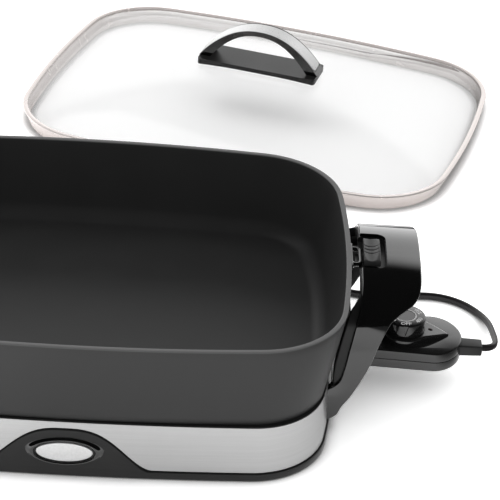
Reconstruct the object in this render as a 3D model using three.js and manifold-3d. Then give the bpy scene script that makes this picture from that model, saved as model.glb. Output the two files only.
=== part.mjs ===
// Electric skillet: a cast pan on a removable base, with two latched handles, a plug-in
// temperature control with its cord, and a loose glass lid lying behind it.
// Millimetres, +Z up. The skillet's own centre is at X = 0, Y = 0 on the surface while the
// pieces are made; the control is on +X and the badge on -Y. The whole is then moved so that
// the origin is under the middle of its box.

import * as THREE from 'three';
import { mergeVertices } from 'three/addons/utils/BufferGeometryUtils.js';
import Module from 'manifold-3d';

const wasm = await Module();
wasm.setup();

// Clearances shared by all pieces
const gap = 0.3;
const overrun = 6;

// Pan
const rimHalfLength = 212.5;
const rimHalfWidth = 159;
const rimSideBow = 1380;
const rimEndBow = 850;
const rimCorner = 72.5;
const rimHeight = 117;
const rimLand = 3.4;
const rimRounding = 0.8;
const wallThickness = 4.2;
const panWaistInsetEnd = 11.5;
const panWaistInsetSide = 6.3;
const panWaistSideBow = 1720;
const panWaistEndBow = 683;
const panWaistCorner = 59;
const panSkirtDepth = 8.2;
const panFloorThickness = 5;
const panLowerRounding = 3;
const floorFillet = 12;

// Base
const footEndStep = 6.5;
const footSideStep = 1.5;
const footHalfLength = rimHalfLength - footEndStep;
const footHalfWidth = rimHalfWidth - footSideStep;
const footSideBow = 2160;
const footEndBow = 650;
const footCorner = 62;
const footHeight = 6.6;
const footEdge = 0.4;
const padHeight = 0.6;
const padRadius = 8;
const padDepth = 1.8;
const flangeWidth = 22;
const flangeThickness = 4;
const bandThickness = 0.8;
const bandBottomInset = 1.5;
const bandTopInset = 3.4;
const bandTopHeight = 47.2;
const lipRise = 1.2;
const lipHeight = bandTopHeight + lipRise;
const lipWidth = 6.1;
const lipThickness = 2.4;
const frameWall = 3;
const panLocatingGap = 1;
const panWaistHeight = lipHeight + gap;
const panBottomHeight = panWaistHeight - panSkirtDepth;

// Hump and badge on the front of the base
const humpHalfWidth = 67.4;
const humpHeadroom = 5.7;
const humpTop = bandTopHeight - humpHeadroom;
const humpRise = humpTop - footHeight;
const humpFullness = 1.47;
const humpProud = 0.9;
const humpDepth = 7;
const badgeDrop = 19.8;
const badgeHeight = humpTop - badgeDrop;
const badgeHalfLength = 21.6;
const badgeHalfHeight = 9;
const bezelHalfLength = 30;
const bezelHalfHeight = 12.6;
const bezelDepth = 3.4;
const bezelWall = 1.4;
const badgeThickness = 1.6;

// Handles
const pivotInset = 12;
const pivotX = footHalfLength - pivotInset;
const pivotHeight = 20.5;
const lobeRadius = 12;
const archHalfSpan = 72;
const archProud = 1.6;
const archRise = 48.6;
const archTop = rimHeight + archProud;
const archShoulderHeight = archTop - archRise;
const archFullness = 3;
const archSplay = 8;
const shellThickness = 3;
const linerThickness = 7.5;
const linerInset = 2.2;
const gripClearance = 7;
const gripDepth = 47.5;
const gripInner = rimHalfLength + gripClearance;
const gripOuter = gripInner + gripDepth;
const armPinRadius = 3;
const pocketWall = 5;
const pocketGap = 1;
const pinHeadRadius = 4.6;
const pinHeadThickness = 2;
const notchHalfLength = 26;
const notchReach = 20.5;
const notchOuter = gripInner + notchReach;
const notchCorner = 8;
const notchDepth = 8.4;
const notchFloor = archTop - notchDepth;
const panelDrop = 30.6;
const panelHeight = 22;
const panelTop = archTop - panelDrop;
const panelBottom = panelTop - panelHeight;
const panelThickness = 3;
const panelWallGap = 2.4;
const panelTabLength = 6.5;
const panelTabReach = gripInner + panelTabLength;
const panelTabInset = 3;
const handleScrewRadius = 1.5;
const handleScrewHead = 2.8;
const handleScrewHeadHeight = 2;
const handleScrewSpan = 38;
const handleScrewSetback = 27.5;
const handleScrewX = gripInner + handleScrewSetback;

// Latch
const buttonSetback = 2.5;
const buttonInner = gripInner + buttonSetback;
const buttonDepth = 13;
const buttonHalfLength = 17.3;
const buttonRoom = 4;
const buttonHeight = 6.2;
const buttonBottom = notchFloor + buttonRoom;
const buttonTop = buttonBottom + buttonHeight;
const buttonCrown = 1.6;
const buttonTravel = 3;
const buttonRibs = 3;
const buttonScoopRadius = 9;
const buttonScoopDepth = 2.2;
const buttonLip = 1.5;
const buttonRibDepth = 0.5;
const latchHalfWidth = 8;
const latchThickness = 2;
const springRadius = 3.4;
const springWire = 0.45;
const springTurns = 3;

// Bracket loops on the pan
const bracketDrop = 3.8;
const bracketHeight = rimHeight - bracketDrop;
const bracketThickness = 3.6;
const bracketHalfLength = 13.5;
const bracketStandoff = 8.9;
const bracketReach = rimHalfLength + bracketStandoff;
const bracketBar = 3.6;
const bracketPlateHalfLength = 19;
const bracketPlateHeight = 13;
const bracketPlateThickness = 1.6;
const bracketScrewRadius = 2.6;
const bracketScrewHeight = 1.3;

// Heating element, terminals and sensor boss under the pan
const elementRadius = 3.2;
const elementInset = 44;
const controlDrop = 5.3;
const controlHeight = panBottomHeight - controlDrop;
const terminalSpan = 14;
const terminalRadius = 2.4;
const terminalLength = 39;
const terminalSetback = 4;
const terminalEnd = footHalfLength - terminalSetback;
const terminalStart = terminalEnd - terminalLength;
const elementEnd = terminalStart - gap;
const bossHalfWidth = 7;
const bossLength = 40;
const bossSetback = 26;
const bossEnd = footHalfLength - bossSetback;
const bossStart = bossEnd - bossLength;
const sensorRadius = 3;
const sensorDepth = 30;
const sensorTip = bossEnd - sensorDepth;
const guardLength = 19.5;
const guardSetback = 2.5;
const guardEnd = footHalfLength - guardSetback;
const guardStart = guardEnd - guardLength;
const guardHalfWidth = 26;
const guardHeight = 13.2;
const guardBottom = panBottomHeight - gap - guardHeight;
const guardThickness = 1.2;

// Temperature control
const portHalfWidth = 31;
const portRoom = 15.2;
const portBottom = controlHeight - portRoom;
const blockLength = 18.7;
const blockHalfWidth = 23;
const blockHeight = 9.4;
const blockDrop = 6.2;
const blockBottom = controlHeight - blockDrop;
const blockTop = blockBottom + blockHeight;
const caseStart = footHalfLength;
const blockEnd = caseStart - gap;
const blockStart = blockEnd - blockLength;
const caseLength = 102;
const caseNeckHalfWidth = 22;
const caseNeckLength = 30;
const caseShoulder = caseStart + caseNeckLength;
const caseShoulderHalfWidth = 25.5;
const caseHalfWidth = 28.3;
const caseNoseLength = 24;
const caseEnd = caseStart + caseLength;
const caseWidest = caseEnd - caseNoseLength;
const caseDrop = 10.6;
const caseLowerHeight = 9;
const caseUpperHeight = 8.4;
const caseBottom = controlHeight - caseDrop;
const caseSplit = caseBottom + caseLowerHeight;
const caseTop = caseSplit + caseUpperHeight;
const caseRounding = 1.5;
const dialSetback = 54.6;
const dialX = caseStart + dialSetback;
const dialRadius = 16.6;
const hullHeight = 5.4;
const hullTop = caseTop + hullHeight;
const dialSink = 1.1;
const dialHeight = 12.9;
const dialBottom = hullTop - dialSink;
const dialTop = dialBottom + dialHeight;
const dialStemRadius = 4;
const dialStemLength = 8;
const dialRounding = 1;
const pointerWidth = 3.2;
const pointerHeight = 8;
const pointerDepth = 1.4;
const hullRadius = 20;
const hullNose = 36.4;
const hullNoseDrop = 3.6;
const hullApex = dialX + hullNose;
const hullBreak = dialX + dialRadius;
const lensRadius = 1.7;
const lensSetback = 21.4;
const lensX = dialX + lensSetback;
const controlScrewRadius = 2.4;
const controlScrewHeight = 1.4;
const reliefReach = 17;
const reliefSeat = 4;
const reliefHalfWidth = 6.8;
const reliefHalfHeight = 4.8;
const reliefTaper = 0.4;
const reliefDrop = 3.2;
const reliefEnd = caseEnd + reliefReach;
const reliefStart = caseEnd - reliefSeat;
const reliefHeight = controlHeight - reliefDrop;

// Cord and plug
const cordDiameter = 6;
const coilX = 96;
const coilY = 214;
const coilMiddleRadius = 33;
const coilPitch = 8;
const coilClimb = 6.6;
const coilStartX = 125;
const coilTurnsEachLayer = 1;
const coilStepsPerTurn = 24;
const plugLength = 34;
const plugHalfWidth = 12.5;
const plugHeight = 17.5;
const bladeLength = 17;
const bladeWidth = 6.3;
const bladeThickness = 1.5;
const bladeSpacing = 12.7;

// Lid, lying yawed on the surface behind the skillet
const lidX = 142.5;
const lidY = 454.8;
const lidYaw = -16.7;
const lidOverhang = 3;
const lidRimHeight = 15.6;
const lidRimLand = 4.8;
const lidRimLean = 7.5;
const lidSheet = 1;
const glassThickness = 4;
const glassRise = 34;
const glassFullness = 2.3;
const lidSkirtBead = 1.2;
const knobHalfLength = 59.5;
const knobHalfWidth = 18.6;
const knobBaseHeight = 4;
const knobArchRise = 34;
const knobArchThickness = 3.4;
const knobArchHalfWidth = 10.5;
const knobPost = 19;
const strapThickness = 1.2;
const strapHalfWidth = 9.6;
const lidScrewRadius = 2.5;
const lidScrewHead = 5;
const lidScrewHeadHeight = 2;
const lidScrewSpan = 46;

// Colours and finishes of the real piece
function finish(color, roughness, metalness) {
  return new THREE.MeshStandardMaterial({ color, roughness, metalness });
}
const castCoating = finish(0x444444, 0.55, 0.1);
const glossBlack = finish(0x0b0b0c, 0.15, 0);
const satinBlack = finish(0x2c2c2d, 0.45, 0);
const matteGrey = finish(0x555557, 0.6, 0);
const brushedSteel = finish(0xc8c8c8, 0.35, 1);
const brightSteel = finish(0xdddddd, 0.2, 1);
const warmSteel = finish(0xd9c9c0, 0.25, 1);
const silver = finish(0xe6e6e6, 0.3, 1);
const rubber = finish(0x1a1a1a, 0.9, 0);
const cordBlack = finish(0x1d1a1c, 0.5, 0);
const clearGlass = new THREE.MeshStandardMaterial({
  color: 0xf4f6f6, roughness: 0.03, metalness: 0, transparent: true, opacity: 0.35,
});
const amber = finish(0x5a1a10, 0.2, 0);
const ceramic = finish(0xb9b4a8, 0.7, 0);

// Solids

function toSolid(geometry) {
  const bare = geometry.clone();
  bare.deleteAttribute('normal');
  bare.deleteAttribute('uv');
  const merged = mergeVertices(bare, 1e-4);
  return new wasm.Manifold(new wasm.Mesh({
    numProp: 3,
    vertProperties: new Float32Array(merged.attributes.position.array),
    triVerts: new Uint32Array(merged.index.array),
  }));
}

function toGeometry(solid) {
  const mesh = solid.getMesh();
  const geometry = new THREE.BufferGeometry();
  geometry.setAttribute('position', new THREE.BufferAttribute(mesh.vertProperties, 3));
  geometry.setIndex(new THREE.BufferAttribute(mesh.triVerts, 1));
  return geometry;
}

function cut(body, ...tools) {
  return toGeometry(tools.reduce((sum, tool) => sum.subtract(toSolid(tool)), toSolid(body)));
}

function join(...bodies) {
  return toGeometry(bodies.map(toSolid).reduce((sum, next) => sum.add(next)));
}

function common(...bodies) {
  return toGeometry(bodies.map(toSolid).reduce((sum, next) => sum.intersect(next)));
}

function piece(parent, name, geometry, material) {
  const mesh = new THREE.Mesh(geometry, material);
  mesh.name = name;
  parent.add(mesh);
  return mesh;
}

function block(x0, x1, y0, y1, z0, z1) {
  const geometry = new THREE.BoxGeometry(x1 - x0, y1 - y0, z1 - z0);
  return geometry.translate((x0 + x1) / 2, (y0 + y1) / 2, (z0 + z1) / 2);
}

function rodAlongX(radius, x0, x1, y, z, sides = 16) {
  const geometry = new THREE.CylinderGeometry(radius, radius, x1 - x0, sides);
  return geometry.rotateZ(-Math.PI / 2).translate((x0 + x1) / 2, y, z);
}

function rodAlongY(radius, x, y0, y1, z, sides = 16) {
  const geometry = new THREE.CylinderGeometry(radius, radius, y1 - y0, sides);
  return geometry.translate(x, (y0 + y1) / 2, z);
}

function rodAlongZ(radius, x, y, z0, z1, sides = 16) {
  const geometry = new THREE.CylinderGeometry(radius, radius, z1 - z0, sides);
  return geometry.rotateX(Math.PI / 2).translate(x, y, (z0 + z1) / 2);
}

// A shape drawn in X and Z, extruded along Y from y0 to y1
function prismAlongY(shape, y0, y1, steps = 6) {
  const geometry = new THREE.ExtrudeGeometry(shape, {
    depth: y1 - y0, bevelEnabled: false, curveSegments: steps,
  });
  return geometry.rotateX(Math.PI / 2).translate(0, y1, 0);
}

// A shape drawn in Y and Z, extruded along X from x0 to x1
function prismAlongX(shape, x0, x1, steps = 6) {
  const geometry = new THREE.ExtrudeGeometry(shape, {
    depth: x1 - x0, bevelEnabled: false, curveSegments: steps,
  });
  const axes = new THREE.Matrix4().makeBasis(
    new THREE.Vector3(0, 1, 0), new THREE.Vector3(0, 0, 1), new THREE.Vector3(1, 0, 0));
  return geometry.applyMatrix4(axes).translate(x0, 0, 0);
}

// A shape drawn in X and Y, extruded along Z from z0 to z1, with rounded edges if asked
function prismAlongZ(shape, z0, z1, rounding = 0, steps = 6) {
  const geometry = new THREE.ExtrudeGeometry(shape, {
    depth: z1 - z0 - 2 * rounding,
    bevelEnabled: rounding > 0,
    bevelThickness: rounding,
    bevelSize: rounding,
    bevelOffset: -rounding,
    bevelSegments: 2,
    curveSegments: steps,
  });
  return geometry.translate(0, 0, z0 + rounding);
}

function roundedRectangle(x0, x1, y0, y1, radius) {
  const shape = new THREE.Shape();
  shape.moveTo(x0 + radius, y0);
  shape.lineTo(x1 - radius, y0);
  shape.absarc(x1 - radius, y0 + radius, radius, -Math.PI / 2, 0, false);
  shape.lineTo(x1, y1 - radius);
  shape.absarc(x1 - radius, y1 - radius, radius, 0, Math.PI / 2, false);
  shape.lineTo(x0 + radius, y1);
  shape.absarc(x0 + radius, y1 - radius, radius, Math.PI / 2, Math.PI, false);
  shape.lineTo(x0, y0 + radius);
  shape.absarc(x0 + radius, y0 + radius, radius, Math.PI, Math.PI * 1.5, false);
  return shape;
}

// Skin over rings of equal point counts. Closed: the last ring meets the first.
// Open: the first and last rings are capped by fans about their middles.
function loft(rings, closed = false) {
  const count = rings[0].length;
  const points = rings.flat();
  const faces = [];
  const spans = closed ? rings.length : rings.length - 1;
  for (let ring = 0; ring < spans; ring += 1) {
    const here = ring * count;
    const there = ((ring + 1) % rings.length) * count;
    for (let i = 0; i < count; i += 1) {
      const next = (i + 1) % count;
      faces.push([here + i, here + next, there + next], [here + i, there + next, there + i]);
    }
  }
  if (!closed) {
    for (const [start, flip] of [[0, true], [(rings.length - 1) * count, false]]) {
      const middle = new THREE.Vector3();
      for (let i = 0; i < count; i += 1) middle.add(points[start + i]);
      points.push(middle.divideScalar(count));
      for (let i = 0; i < count; i += 1) {
        const next = start + ((i + 1) % count);
        const fan = [points.length - 1, start + i, next];
        faces.push(flip ? fan.reverse() : fan);
      }
    }
  }
  let volume = 0;
  for (const [a, b, c] of faces) {
    volume += points[a].dot(new THREE.Vector3().crossVectors(points[b], points[c]));
  }
  if (volume < 0) faces.forEach((face) => face.reverse());
  const geometry = new THREE.BufferGeometry();
  geometry.setFromPoints(points);
  geometry.setIndex(faces.flat());
  return geometry;
}

// Plan outlines: a rectangle with bowed sides, bowed ends and round corners

const cornerSteps = 6;
const sideSteps = 3;
const endSteps = 3;

function arcPoints(x, y, radius, from, to, steps) {
  return Array.from({ length: steps }, (_, i) => {
    const angle = from + ((to - from) * i) / steps;
    return [x + radius * Math.cos(angle), y + radius * Math.sin(angle)];
  });
}

function outline(size, inset, z) {
  const halfLength = size.halfLength - inset;
  const halfWidth = size.halfWidth - inset;
  const sideBow = size.sideBow - inset;
  const endBow = size.endBow - inset;
  const corner = size.corner - inset;
  const sideCentre = halfWidth - sideBow;
  const endCentre = halfLength - endBow;
  const sideReach = sideBow - corner;
  const endReach = endBow - corner;
  const apart = Math.hypot(endCentre, sideCentre);
  const along = (sideReach ** 2 - endReach ** 2 + apart ** 2) / (2 * apart);
  const across = Math.sqrt(sideReach ** 2 - along ** 2);
  const unitX = endCentre / apart;
  const unitY = -sideCentre / apart;
  const cornerX = along * unitX + across * unitY;
  const cornerY = sideCentre + along * unitY - across * unitX;
  const endAngle = Math.atan2(cornerY, cornerX - endCentre);
  const sideAngle = Math.atan2(cornerY - sideCentre, cornerX);
  const quarter = [
    ...arcPoints(endCentre, 0, endBow, 0, endAngle, endSteps),
    ...arcPoints(cornerX, cornerY, corner, endAngle, sideAngle, cornerSteps),
    ...arcPoints(0, sideCentre, sideBow, sideAngle, Math.PI / 2, sideSteps),
  ];
  const half = [...quarter, [0, halfWidth], ...quarter.slice(1).reverse().map(([x, y]) => [-x, y])];
  const all = [...half, ...half.map(([x, y]) => [-x, -y])];
  return all.map(([x, y]) => new THREE.Vector3(x, y, z));
}

function mixSizes(low, high, share) {
  const mixed = {};
  for (const key of Object.keys(low)) mixed[key] = low[key] + (high[key] - low[key]) * share;
  return mixed;
}

const rimSize = {
  halfLength: rimHalfLength,
  halfWidth: rimHalfWidth,
  sideBow: rimSideBow,
  endBow: rimEndBow,
  corner: rimCorner,
};
const footSize = {
  halfLength: footHalfLength,
  halfWidth: footHalfWidth,
  sideBow: footSideBow,
  endBow: footEndBow,
  corner: footCorner,
};
const waistSize = {
  halfLength: rimHalfLength - panWaistInsetEnd,
  halfWidth: rimHalfWidth - panWaistInsetSide,
  sideBow: panWaistSideBow,
  endBow: panWaistEndBow,
  corner: panWaistCorner,
};

function wallSize(z) {
  return mixSizes(waistSize, rimSize, (z - panWaistHeight) / (rimHeight - panWaistHeight));
}

// X of the pan's outer wall at the middle of its end, at height z
function wallX(z) {
  return wallSize(z).halfLength;
}

// Inset of the band's outer face from the foot outline at height z
function bandInset(z) {
  const share = (z - footHeight) / (bandTopHeight - footHeight);
  return bandBottomInset + (bandTopInset - bandBottomInset) * share;
}

const skillet = new THREE.Group();

// Base frame

const frameOuterOffset = bandThickness + 2 * gap;
const lipInset = bandTopInset;
const lipInner = lipInset + lipWidth;

function frameRing() {
  const wallLow = bandInset(footHeight) + frameOuterOffset;
  const wallHigh = bandInset(bandTopHeight) + frameOuterOffset;
  const flangeTop = padHeight + flangeThickness;
  const profile = [
    [footEdge, padHeight],
    [0, padHeight + footEdge],
    [0, footHeight - rimRounding],
    [rimRounding, footHeight],
    [wallLow, footHeight],
    [wallHigh, bandTopHeight + gap],
    [lipInset, bandTopHeight + gap],
    [lipInset, lipHeight],
    [lipInner, lipHeight],
    [lipInner, lipHeight - lipThickness],
    [wallHigh + frameWall, lipHeight - lipThickness],
    [wallLow + frameWall, flangeTop],
    [flangeWidth, flangeTop],
    [flangeWidth, padHeight],
  ];
  return loft(profile.map(([inset, z]) => outline(footSize, inset, z)), true);
}

function humpShape(grow) {
  const shape = new THREE.Shape();
  const half = humpHalfWidth + grow;
  const steps = 18;
  const low = footHeight - overrun;
  shape.moveTo(-half, low);
  shape.lineTo(half, low);
  for (let i = steps; i >= 0; i -= 1) {
    const x = half * ((2 * i) / steps - 1);
    const turn = Math.PI * Math.abs(x / half) ** humpFullness;
    shape.lineTo(x, footHeight + grow + humpRise * 0.5 * (1 + Math.cos(turn)));
  }
  return shape;
}

function frameHump() {
  const proud = bandBottomInset - humpProud;
  const shell = loft([
    outline(footSize, proud, footHeight - 2 * rimRounding),
    outline(footSize, proud + bandTopInset - bandBottomInset, bandTopHeight),
    outline(footSize, proud + humpDepth, bandTopHeight),
    outline(footSize, proud + humpDepth, footHeight - 2 * rimRounding),
  ], true);
  const front = prismAlongY(humpShape(0), -footHalfWidth - overrun, -footHalfWidth + 4 * overrun);
  return common(shell, front);
}

function ellipseRing(halfLength, halfHeight, y, z, steps = 32) {
  return Array.from({ length: steps }, (_, i) => {
    const angle = (2 * Math.PI * i) / steps;
    return new THREE.Vector3(halfLength * Math.cos(angle), y, z + halfHeight * Math.sin(angle));
  });
}

const humpFaceY = -(footHalfWidth - bandInset(badgeHeight) + humpProud);
const bezelBackY = humpFaceY + bezelDepth;

function ovalPlug(halfLength, halfHeight, y0, y1) {
  return loft([
    ellipseRing(halfLength, halfHeight, y0, badgeHeight),
    ellipseRing(halfLength, halfHeight, y1, badgeHeight),
  ]);
}

// Arm pockets: each arm's round lower end swings inside one, on its pin
const armOuterY = archHalfSpan + archSplay;
const armDepth = shellThickness + gap + linerThickness;
const pocketInnerX = pivotX - lobeRadius - pocketGap;
const pocketLow = pivotHeight - lobeRadius - 2 * pocketGap;
const housingTop = panBottomHeight - gap;
const pocketTop = housingTop - pocketWall / 2;
const pocketInnerY = armY(pocketTop) - armDepth - 2 * pocketGap;
const pocketOuterY = armOuterY + pocketGap;

// Outer face of the arm at a height: the arms lean together towards the top
function armY(z) {
  const low = pivotHeight - lobeRadius;
  return armOuterY - (archSplay * (z - low)) / (archShoulderHeight - low);
}

function mirroredEnds(make) {
  return [0, Math.PI].flatMap((turn) => [1, -1].map((side) => make(side).rotateZ(turn)));
}

// Block and rod between two distances from the middle, on either side of it
function sideBlock(side, x0, x1, near, far, z0, z1) {
  return block(x0, x1, Math.min(side * near, side * far), Math.max(side * near, side * far), z0, z1);
}

function sideRod(side, radius, near, far) {
  return rodAlongY(radius, pivotX, Math.min(side * near, side * far),
    Math.max(side * near, side * far), pivotHeight);
}

function frameCore() {
  const wallLow = bandInset(footHeight) + frameOuterOffset;
  const wallHigh = bandInset(bandTopHeight) + frameOuterOffset;
  return loft([
    outline(footSize, wallLow, padHeight),
    outline(footSize, wallLow, footHeight),
    outline(footSize, wallHigh, bandTopHeight + gap),
  ]);
}

function pocketHousing(side) {
  return common(frameCore(), sideBlock(side, pocketInnerX - pocketWall, footHalfLength,
    pocketInnerY - pocketWall, pocketOuterY + pocketWall, padHeight, housingTop));
}

function pocketVoid(side) {
  return sideBlock(side, pocketInnerX, footHalfLength + overrun, pocketInnerY, pocketOuterY,
    pocketLow, pocketTop);
}

function pinBore(side) {
  return join(
    sideRod(side, armPinRadius + gap, pocketInnerY - pocketWall - overrun, pocketOuterY - gap),
    sideRod(side, pinHeadRadius + gap, pocketInnerY - pocketWall - overrun,
      pocketInnerY - pocketWall),
  );
}

function portVoid() {
  return block(pocketInnerX - overrun, footHalfLength + overrun, -portHalfWidth, portHalfWidth,
    portBottom, lipHeight + overrun);
}

const padPlaces = [[1, 1], [-1, 1], [-1, -1], [1, -1]].map(([sx, sy]) => {
  const reach = (footCorner - flangeWidth / 2) * Math.SQRT1_2;
  return [
    sx * (footHalfLength - footCorner + reach - flangeWidth / 4),
    sy * (footHalfWidth - footCorner + reach - flangeWidth / 4),
  ];
});

piece(skillet, 'base_frame', cut(
  join(frameRing(), frameHump(), ...mirroredEnds(pocketHousing)),
  ...mirroredEnds(pocketVoid),
  ...mirroredEnds(pinBore),
  portVoid(),
  ovalPlug(bezelHalfLength + gap, bezelHalfHeight + gap, humpFaceY - overrun, bezelBackY + gap),
  ...padPlaces.map(([x, y]) => rodAlongZ(padRadius + gap, x, y, 0, padHeight + padDepth + gap)),
), satinBlack);

padPlaces.forEach(([x, y], i) => {
  piece(skillet, `rubber_foot_${i + 1}`, rodAlongZ(padRadius, x, y, 0, padHeight + padDepth),
    rubber);
});

// Stainless band
function bandRing() {
  const low = footHeight + gap;
  return loft([
    outline(footSize, bandInset(low), low),
    outline(footSize, bandInset(bandTopHeight), bandTopHeight),
    outline(footSize, bandInset(bandTopHeight) + bandThickness, bandTopHeight),
    outline(footSize, bandInset(low) + bandThickness, low),
  ], true);
}

piece(skillet, 'steel_band', cut(
  bandRing(),
  prismAlongY(humpShape(gap), -footHalfWidth - overrun, -footHalfWidth + 4 * overrun),
  ...mirroredEnds(pocketVoid),
  portVoid(),
), brushedSteel);

// Oval bezel with a dished face, and the bare badge inside it
function bezel() {
  const dish = bezelDepth / 2;
  const inner = badgeHalfLength + gap;
  const innerHigh = badgeHalfHeight + gap;
  const mid = (bezelHalfLength - bezelWall + inner) / 2;
  const midHigh = (bezelHalfHeight - bezelWall + innerHigh) / 2;
  const profile = [
    [bezelHalfLength, bezelHalfHeight, bezelBackY],
    [bezelHalfLength, bezelHalfHeight, humpFaceY],
    [bezelHalfLength - bezelWall / 2, bezelHalfHeight - bezelWall / 2, humpFaceY - bezelWall / 2],
    [bezelHalfLength - bezelWall, bezelHalfHeight - bezelWall, humpFaceY],
    [mid, midHigh, humpFaceY + dish],
    [inner, innerHigh, humpFaceY + dish],
    [inner, innerHigh, bezelBackY],
  ];
  return loft(profile.map(([a, b, y]) => ellipseRing(a, b, y, badgeHeight)), true);
}
piece(skillet, 'badge_bezel', bezel(), glossBlack);

function badge() {
  const front = humpFaceY - bezelWall / 2;
  const profile = [
    [badgeHalfLength, badgeHalfHeight, bezelBackY],
    [badgeHalfLength, badgeHalfHeight, front + badgeThickness / 2],
    [badgeHalfLength - badgeThickness, badgeHalfHeight - badgeThickness, front],
  ];
  return loft(profile.map(([a, b, y]) => ellipseRing(a, b, y, badgeHeight)));
}
piece(skillet, 'badge_plate', badge(), silver);

// Pan

const panLowerInset = lipInner + panLocatingGap;

function panShell() {
  const floorHeight = panBottomHeight + panFloorThickness;
  const rings = [
    outline(footSize, panLowerInset + 2 * panLowerRounding, panBottomHeight),
    outline(footSize, panLowerInset + panLowerRounding / 2, panBottomHeight + panLowerRounding / 3),
    outline(footSize, panLowerInset, panBottomHeight + panLowerRounding),
    outline(footSize, panLowerInset, panWaistHeight),
    outline(waistSize, rimRounding, panWaistHeight),
    outline(wallSize(panWaistHeight + rimRounding), 0, panWaistHeight + rimRounding),
    outline(wallSize(rimHeight - rimRounding), 0, rimHeight - rimRounding),
    outline(rimSize, rimRounding, rimHeight),
    outline(rimSize, rimLand, rimHeight),
    outline(wallSize(rimHeight - rimRounding), wallThickness, rimHeight - rimRounding),
  ];
  const filletSteps = 4;
  const filletTop = floorHeight + floorFillet;
  for (let i = 0; i <= filletSteps; i += 1) {
    const angle = (Math.PI / 2) * (i / filletSteps);
    const z = filletTop - floorFillet * Math.sin(angle);
    const inset = wallThickness + floorFillet * (1 - Math.cos(angle));
    rings.push(outline(wallSize(Math.max(z, panWaistHeight)), inset, z));
  }
  return loft(rings);
}

function terminalBoss() {
  return block(bossStart, bossEnd, -bossHalfWidth, bossHalfWidth,
    controlHeight - sensorRadius - bossHalfWidth / 2, panBottomHeight + rimRounding);
}

piece(skillet, 'pan_body', cut(
  join(panShell(), terminalBoss()),
  rodAlongX(sensorRadius + gap, sensorTip - gap, bossEnd + overrun, 0, controlHeight),
), castCoating);

// Heating element: a tube bent to the pan's outline, its ends turned to the terminals
function heatingElement() {
  const z = panBottomHeight - gap - elementRadius;
  const loop = outline(footSize, elementInset, z);
  const count = loop.length;
  const clear = 1;
  const route = [
    new THREE.Vector3(elementEnd, terminalSpan, controlHeight),
    new THREE.Vector3(elementEnd - 2 * elementRadius, terminalSpan, controlHeight),
  ];
  for (let i = clear; i <= count - clear; i += 1) {
    const point = loop[i].clone();
    const near = i === clear || i === count - clear;
    if (near) point.z = (z + controlHeight) / 2;
    if (near) point.x -= 4 * elementRadius;
    route.push(point);
  }
  route.push(
    new THREE.Vector3(elementEnd - 2 * elementRadius, -terminalSpan, controlHeight),
    new THREE.Vector3(elementEnd, -terminalSpan, controlHeight));
  return tube(route, elementRadius, 6, 60);
}

// A round tube of few sides along a smooth curve through the route
function tube(route, radius, sides, steps) {
  const section = new THREE.Shape();
  for (let i = 0; i < sides; i += 1) {
    const angle = (2 * Math.PI * (i + 0.5)) / sides;
    const reach = radius / Math.cos(Math.PI / sides);
    const x = reach * Math.cos(angle);
    const y = reach * Math.sin(angle);
    if (i === 0) section.moveTo(x, y);
    else section.lineTo(x, y);
  }
  const path = new THREE.CatmullRomCurve3(route, false, 'centripetal');
  return new THREE.ExtrudeGeometry(section, { steps, extrudePath: path, bevelEnabled: false });
}

piece(skillet, 'heating_element', heatingElement(), matteGrey);

[1, -1].forEach((side, i) => {
  piece(skillet, `terminal_pin_${i + 1}`, rodAlongX(terminalRadius, terminalStart, terminalEnd,
    side * terminalSpan, controlHeight, 12), silver);
});

function guardShape(inset) {
  return roundedRectangle(-guardHalfWidth + inset, guardHalfWidth - inset,
    guardBottom + inset, panBottomHeight - gap - inset, 3 * guardThickness - inset);
}
piece(skillet, 'socket_guard', cut(
  prismAlongX(guardShape(0), guardStart, guardEnd, 3),
  prismAlongX(guardShape(guardThickness), guardStart - overrun, guardEnd + overrun, 3),
), brightSteel);

// Bracket loop on each end of the pan, held to the wall by a plate and a screw

function bracket() {
  const z0 = bracketHeight - bracketThickness;
  const back = wallX(bracketHeight) - wallThickness;
  const bar = bracketReach - bracketBar;
  const prong = bracketHalfLength - bracketBar;
  const loop = cut(
    prismAlongZ(roundedRectangle(back, bracketReach, -bracketHalfLength, bracketHalfLength,
      bracketBar), z0, bracketHeight, 0, 4),
    block(back - overrun, bar, -prong, prong, z0 - overrun, bracketHeight + overrun),
  );
  const plate = block(back, wallX(bracketHeight) + bracketPlateThickness + gap,
    -bracketPlateHalfLength, bracketPlateHalfLength,
    bracketHeight - bracketPlateHeight, bracketHeight);
  const wall = loft([
    outline(wallSize(panWaistHeight), -gap, panWaistHeight),
    outline(wallSize(rimHeight), -gap, rimHeight),
  ]);
  return cut(join(loop, plate), wall);
}

function bracketScrew() {
  const z = bracketHeight - bracketPlateHeight + bracketScrewRadius + bracketScrewHeight;
  const seat = wallX(bracketHeight) + bracketPlateThickness + 2 * gap;
  return rodAlongX(bracketScrewRadius, seat, seat + bracketScrewHeight, 0, z, 12);
}

for (const [side, turn] of [['right', 0], ['left', Math.PI]]) {
  const end = new THREE.Group();
  end.rotation.z = turn;
  skillet.add(end);
  piece(end, `${side}_bracket`, bracket(), glossBlack);
  piece(end, `${side}_bracket_screw`, bracketScrew(), brightSteel);
}

// Handles

const handleX0 = pivotX - lobeRadius - overrun;
const handleX1 = gripOuter + overrun;

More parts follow.
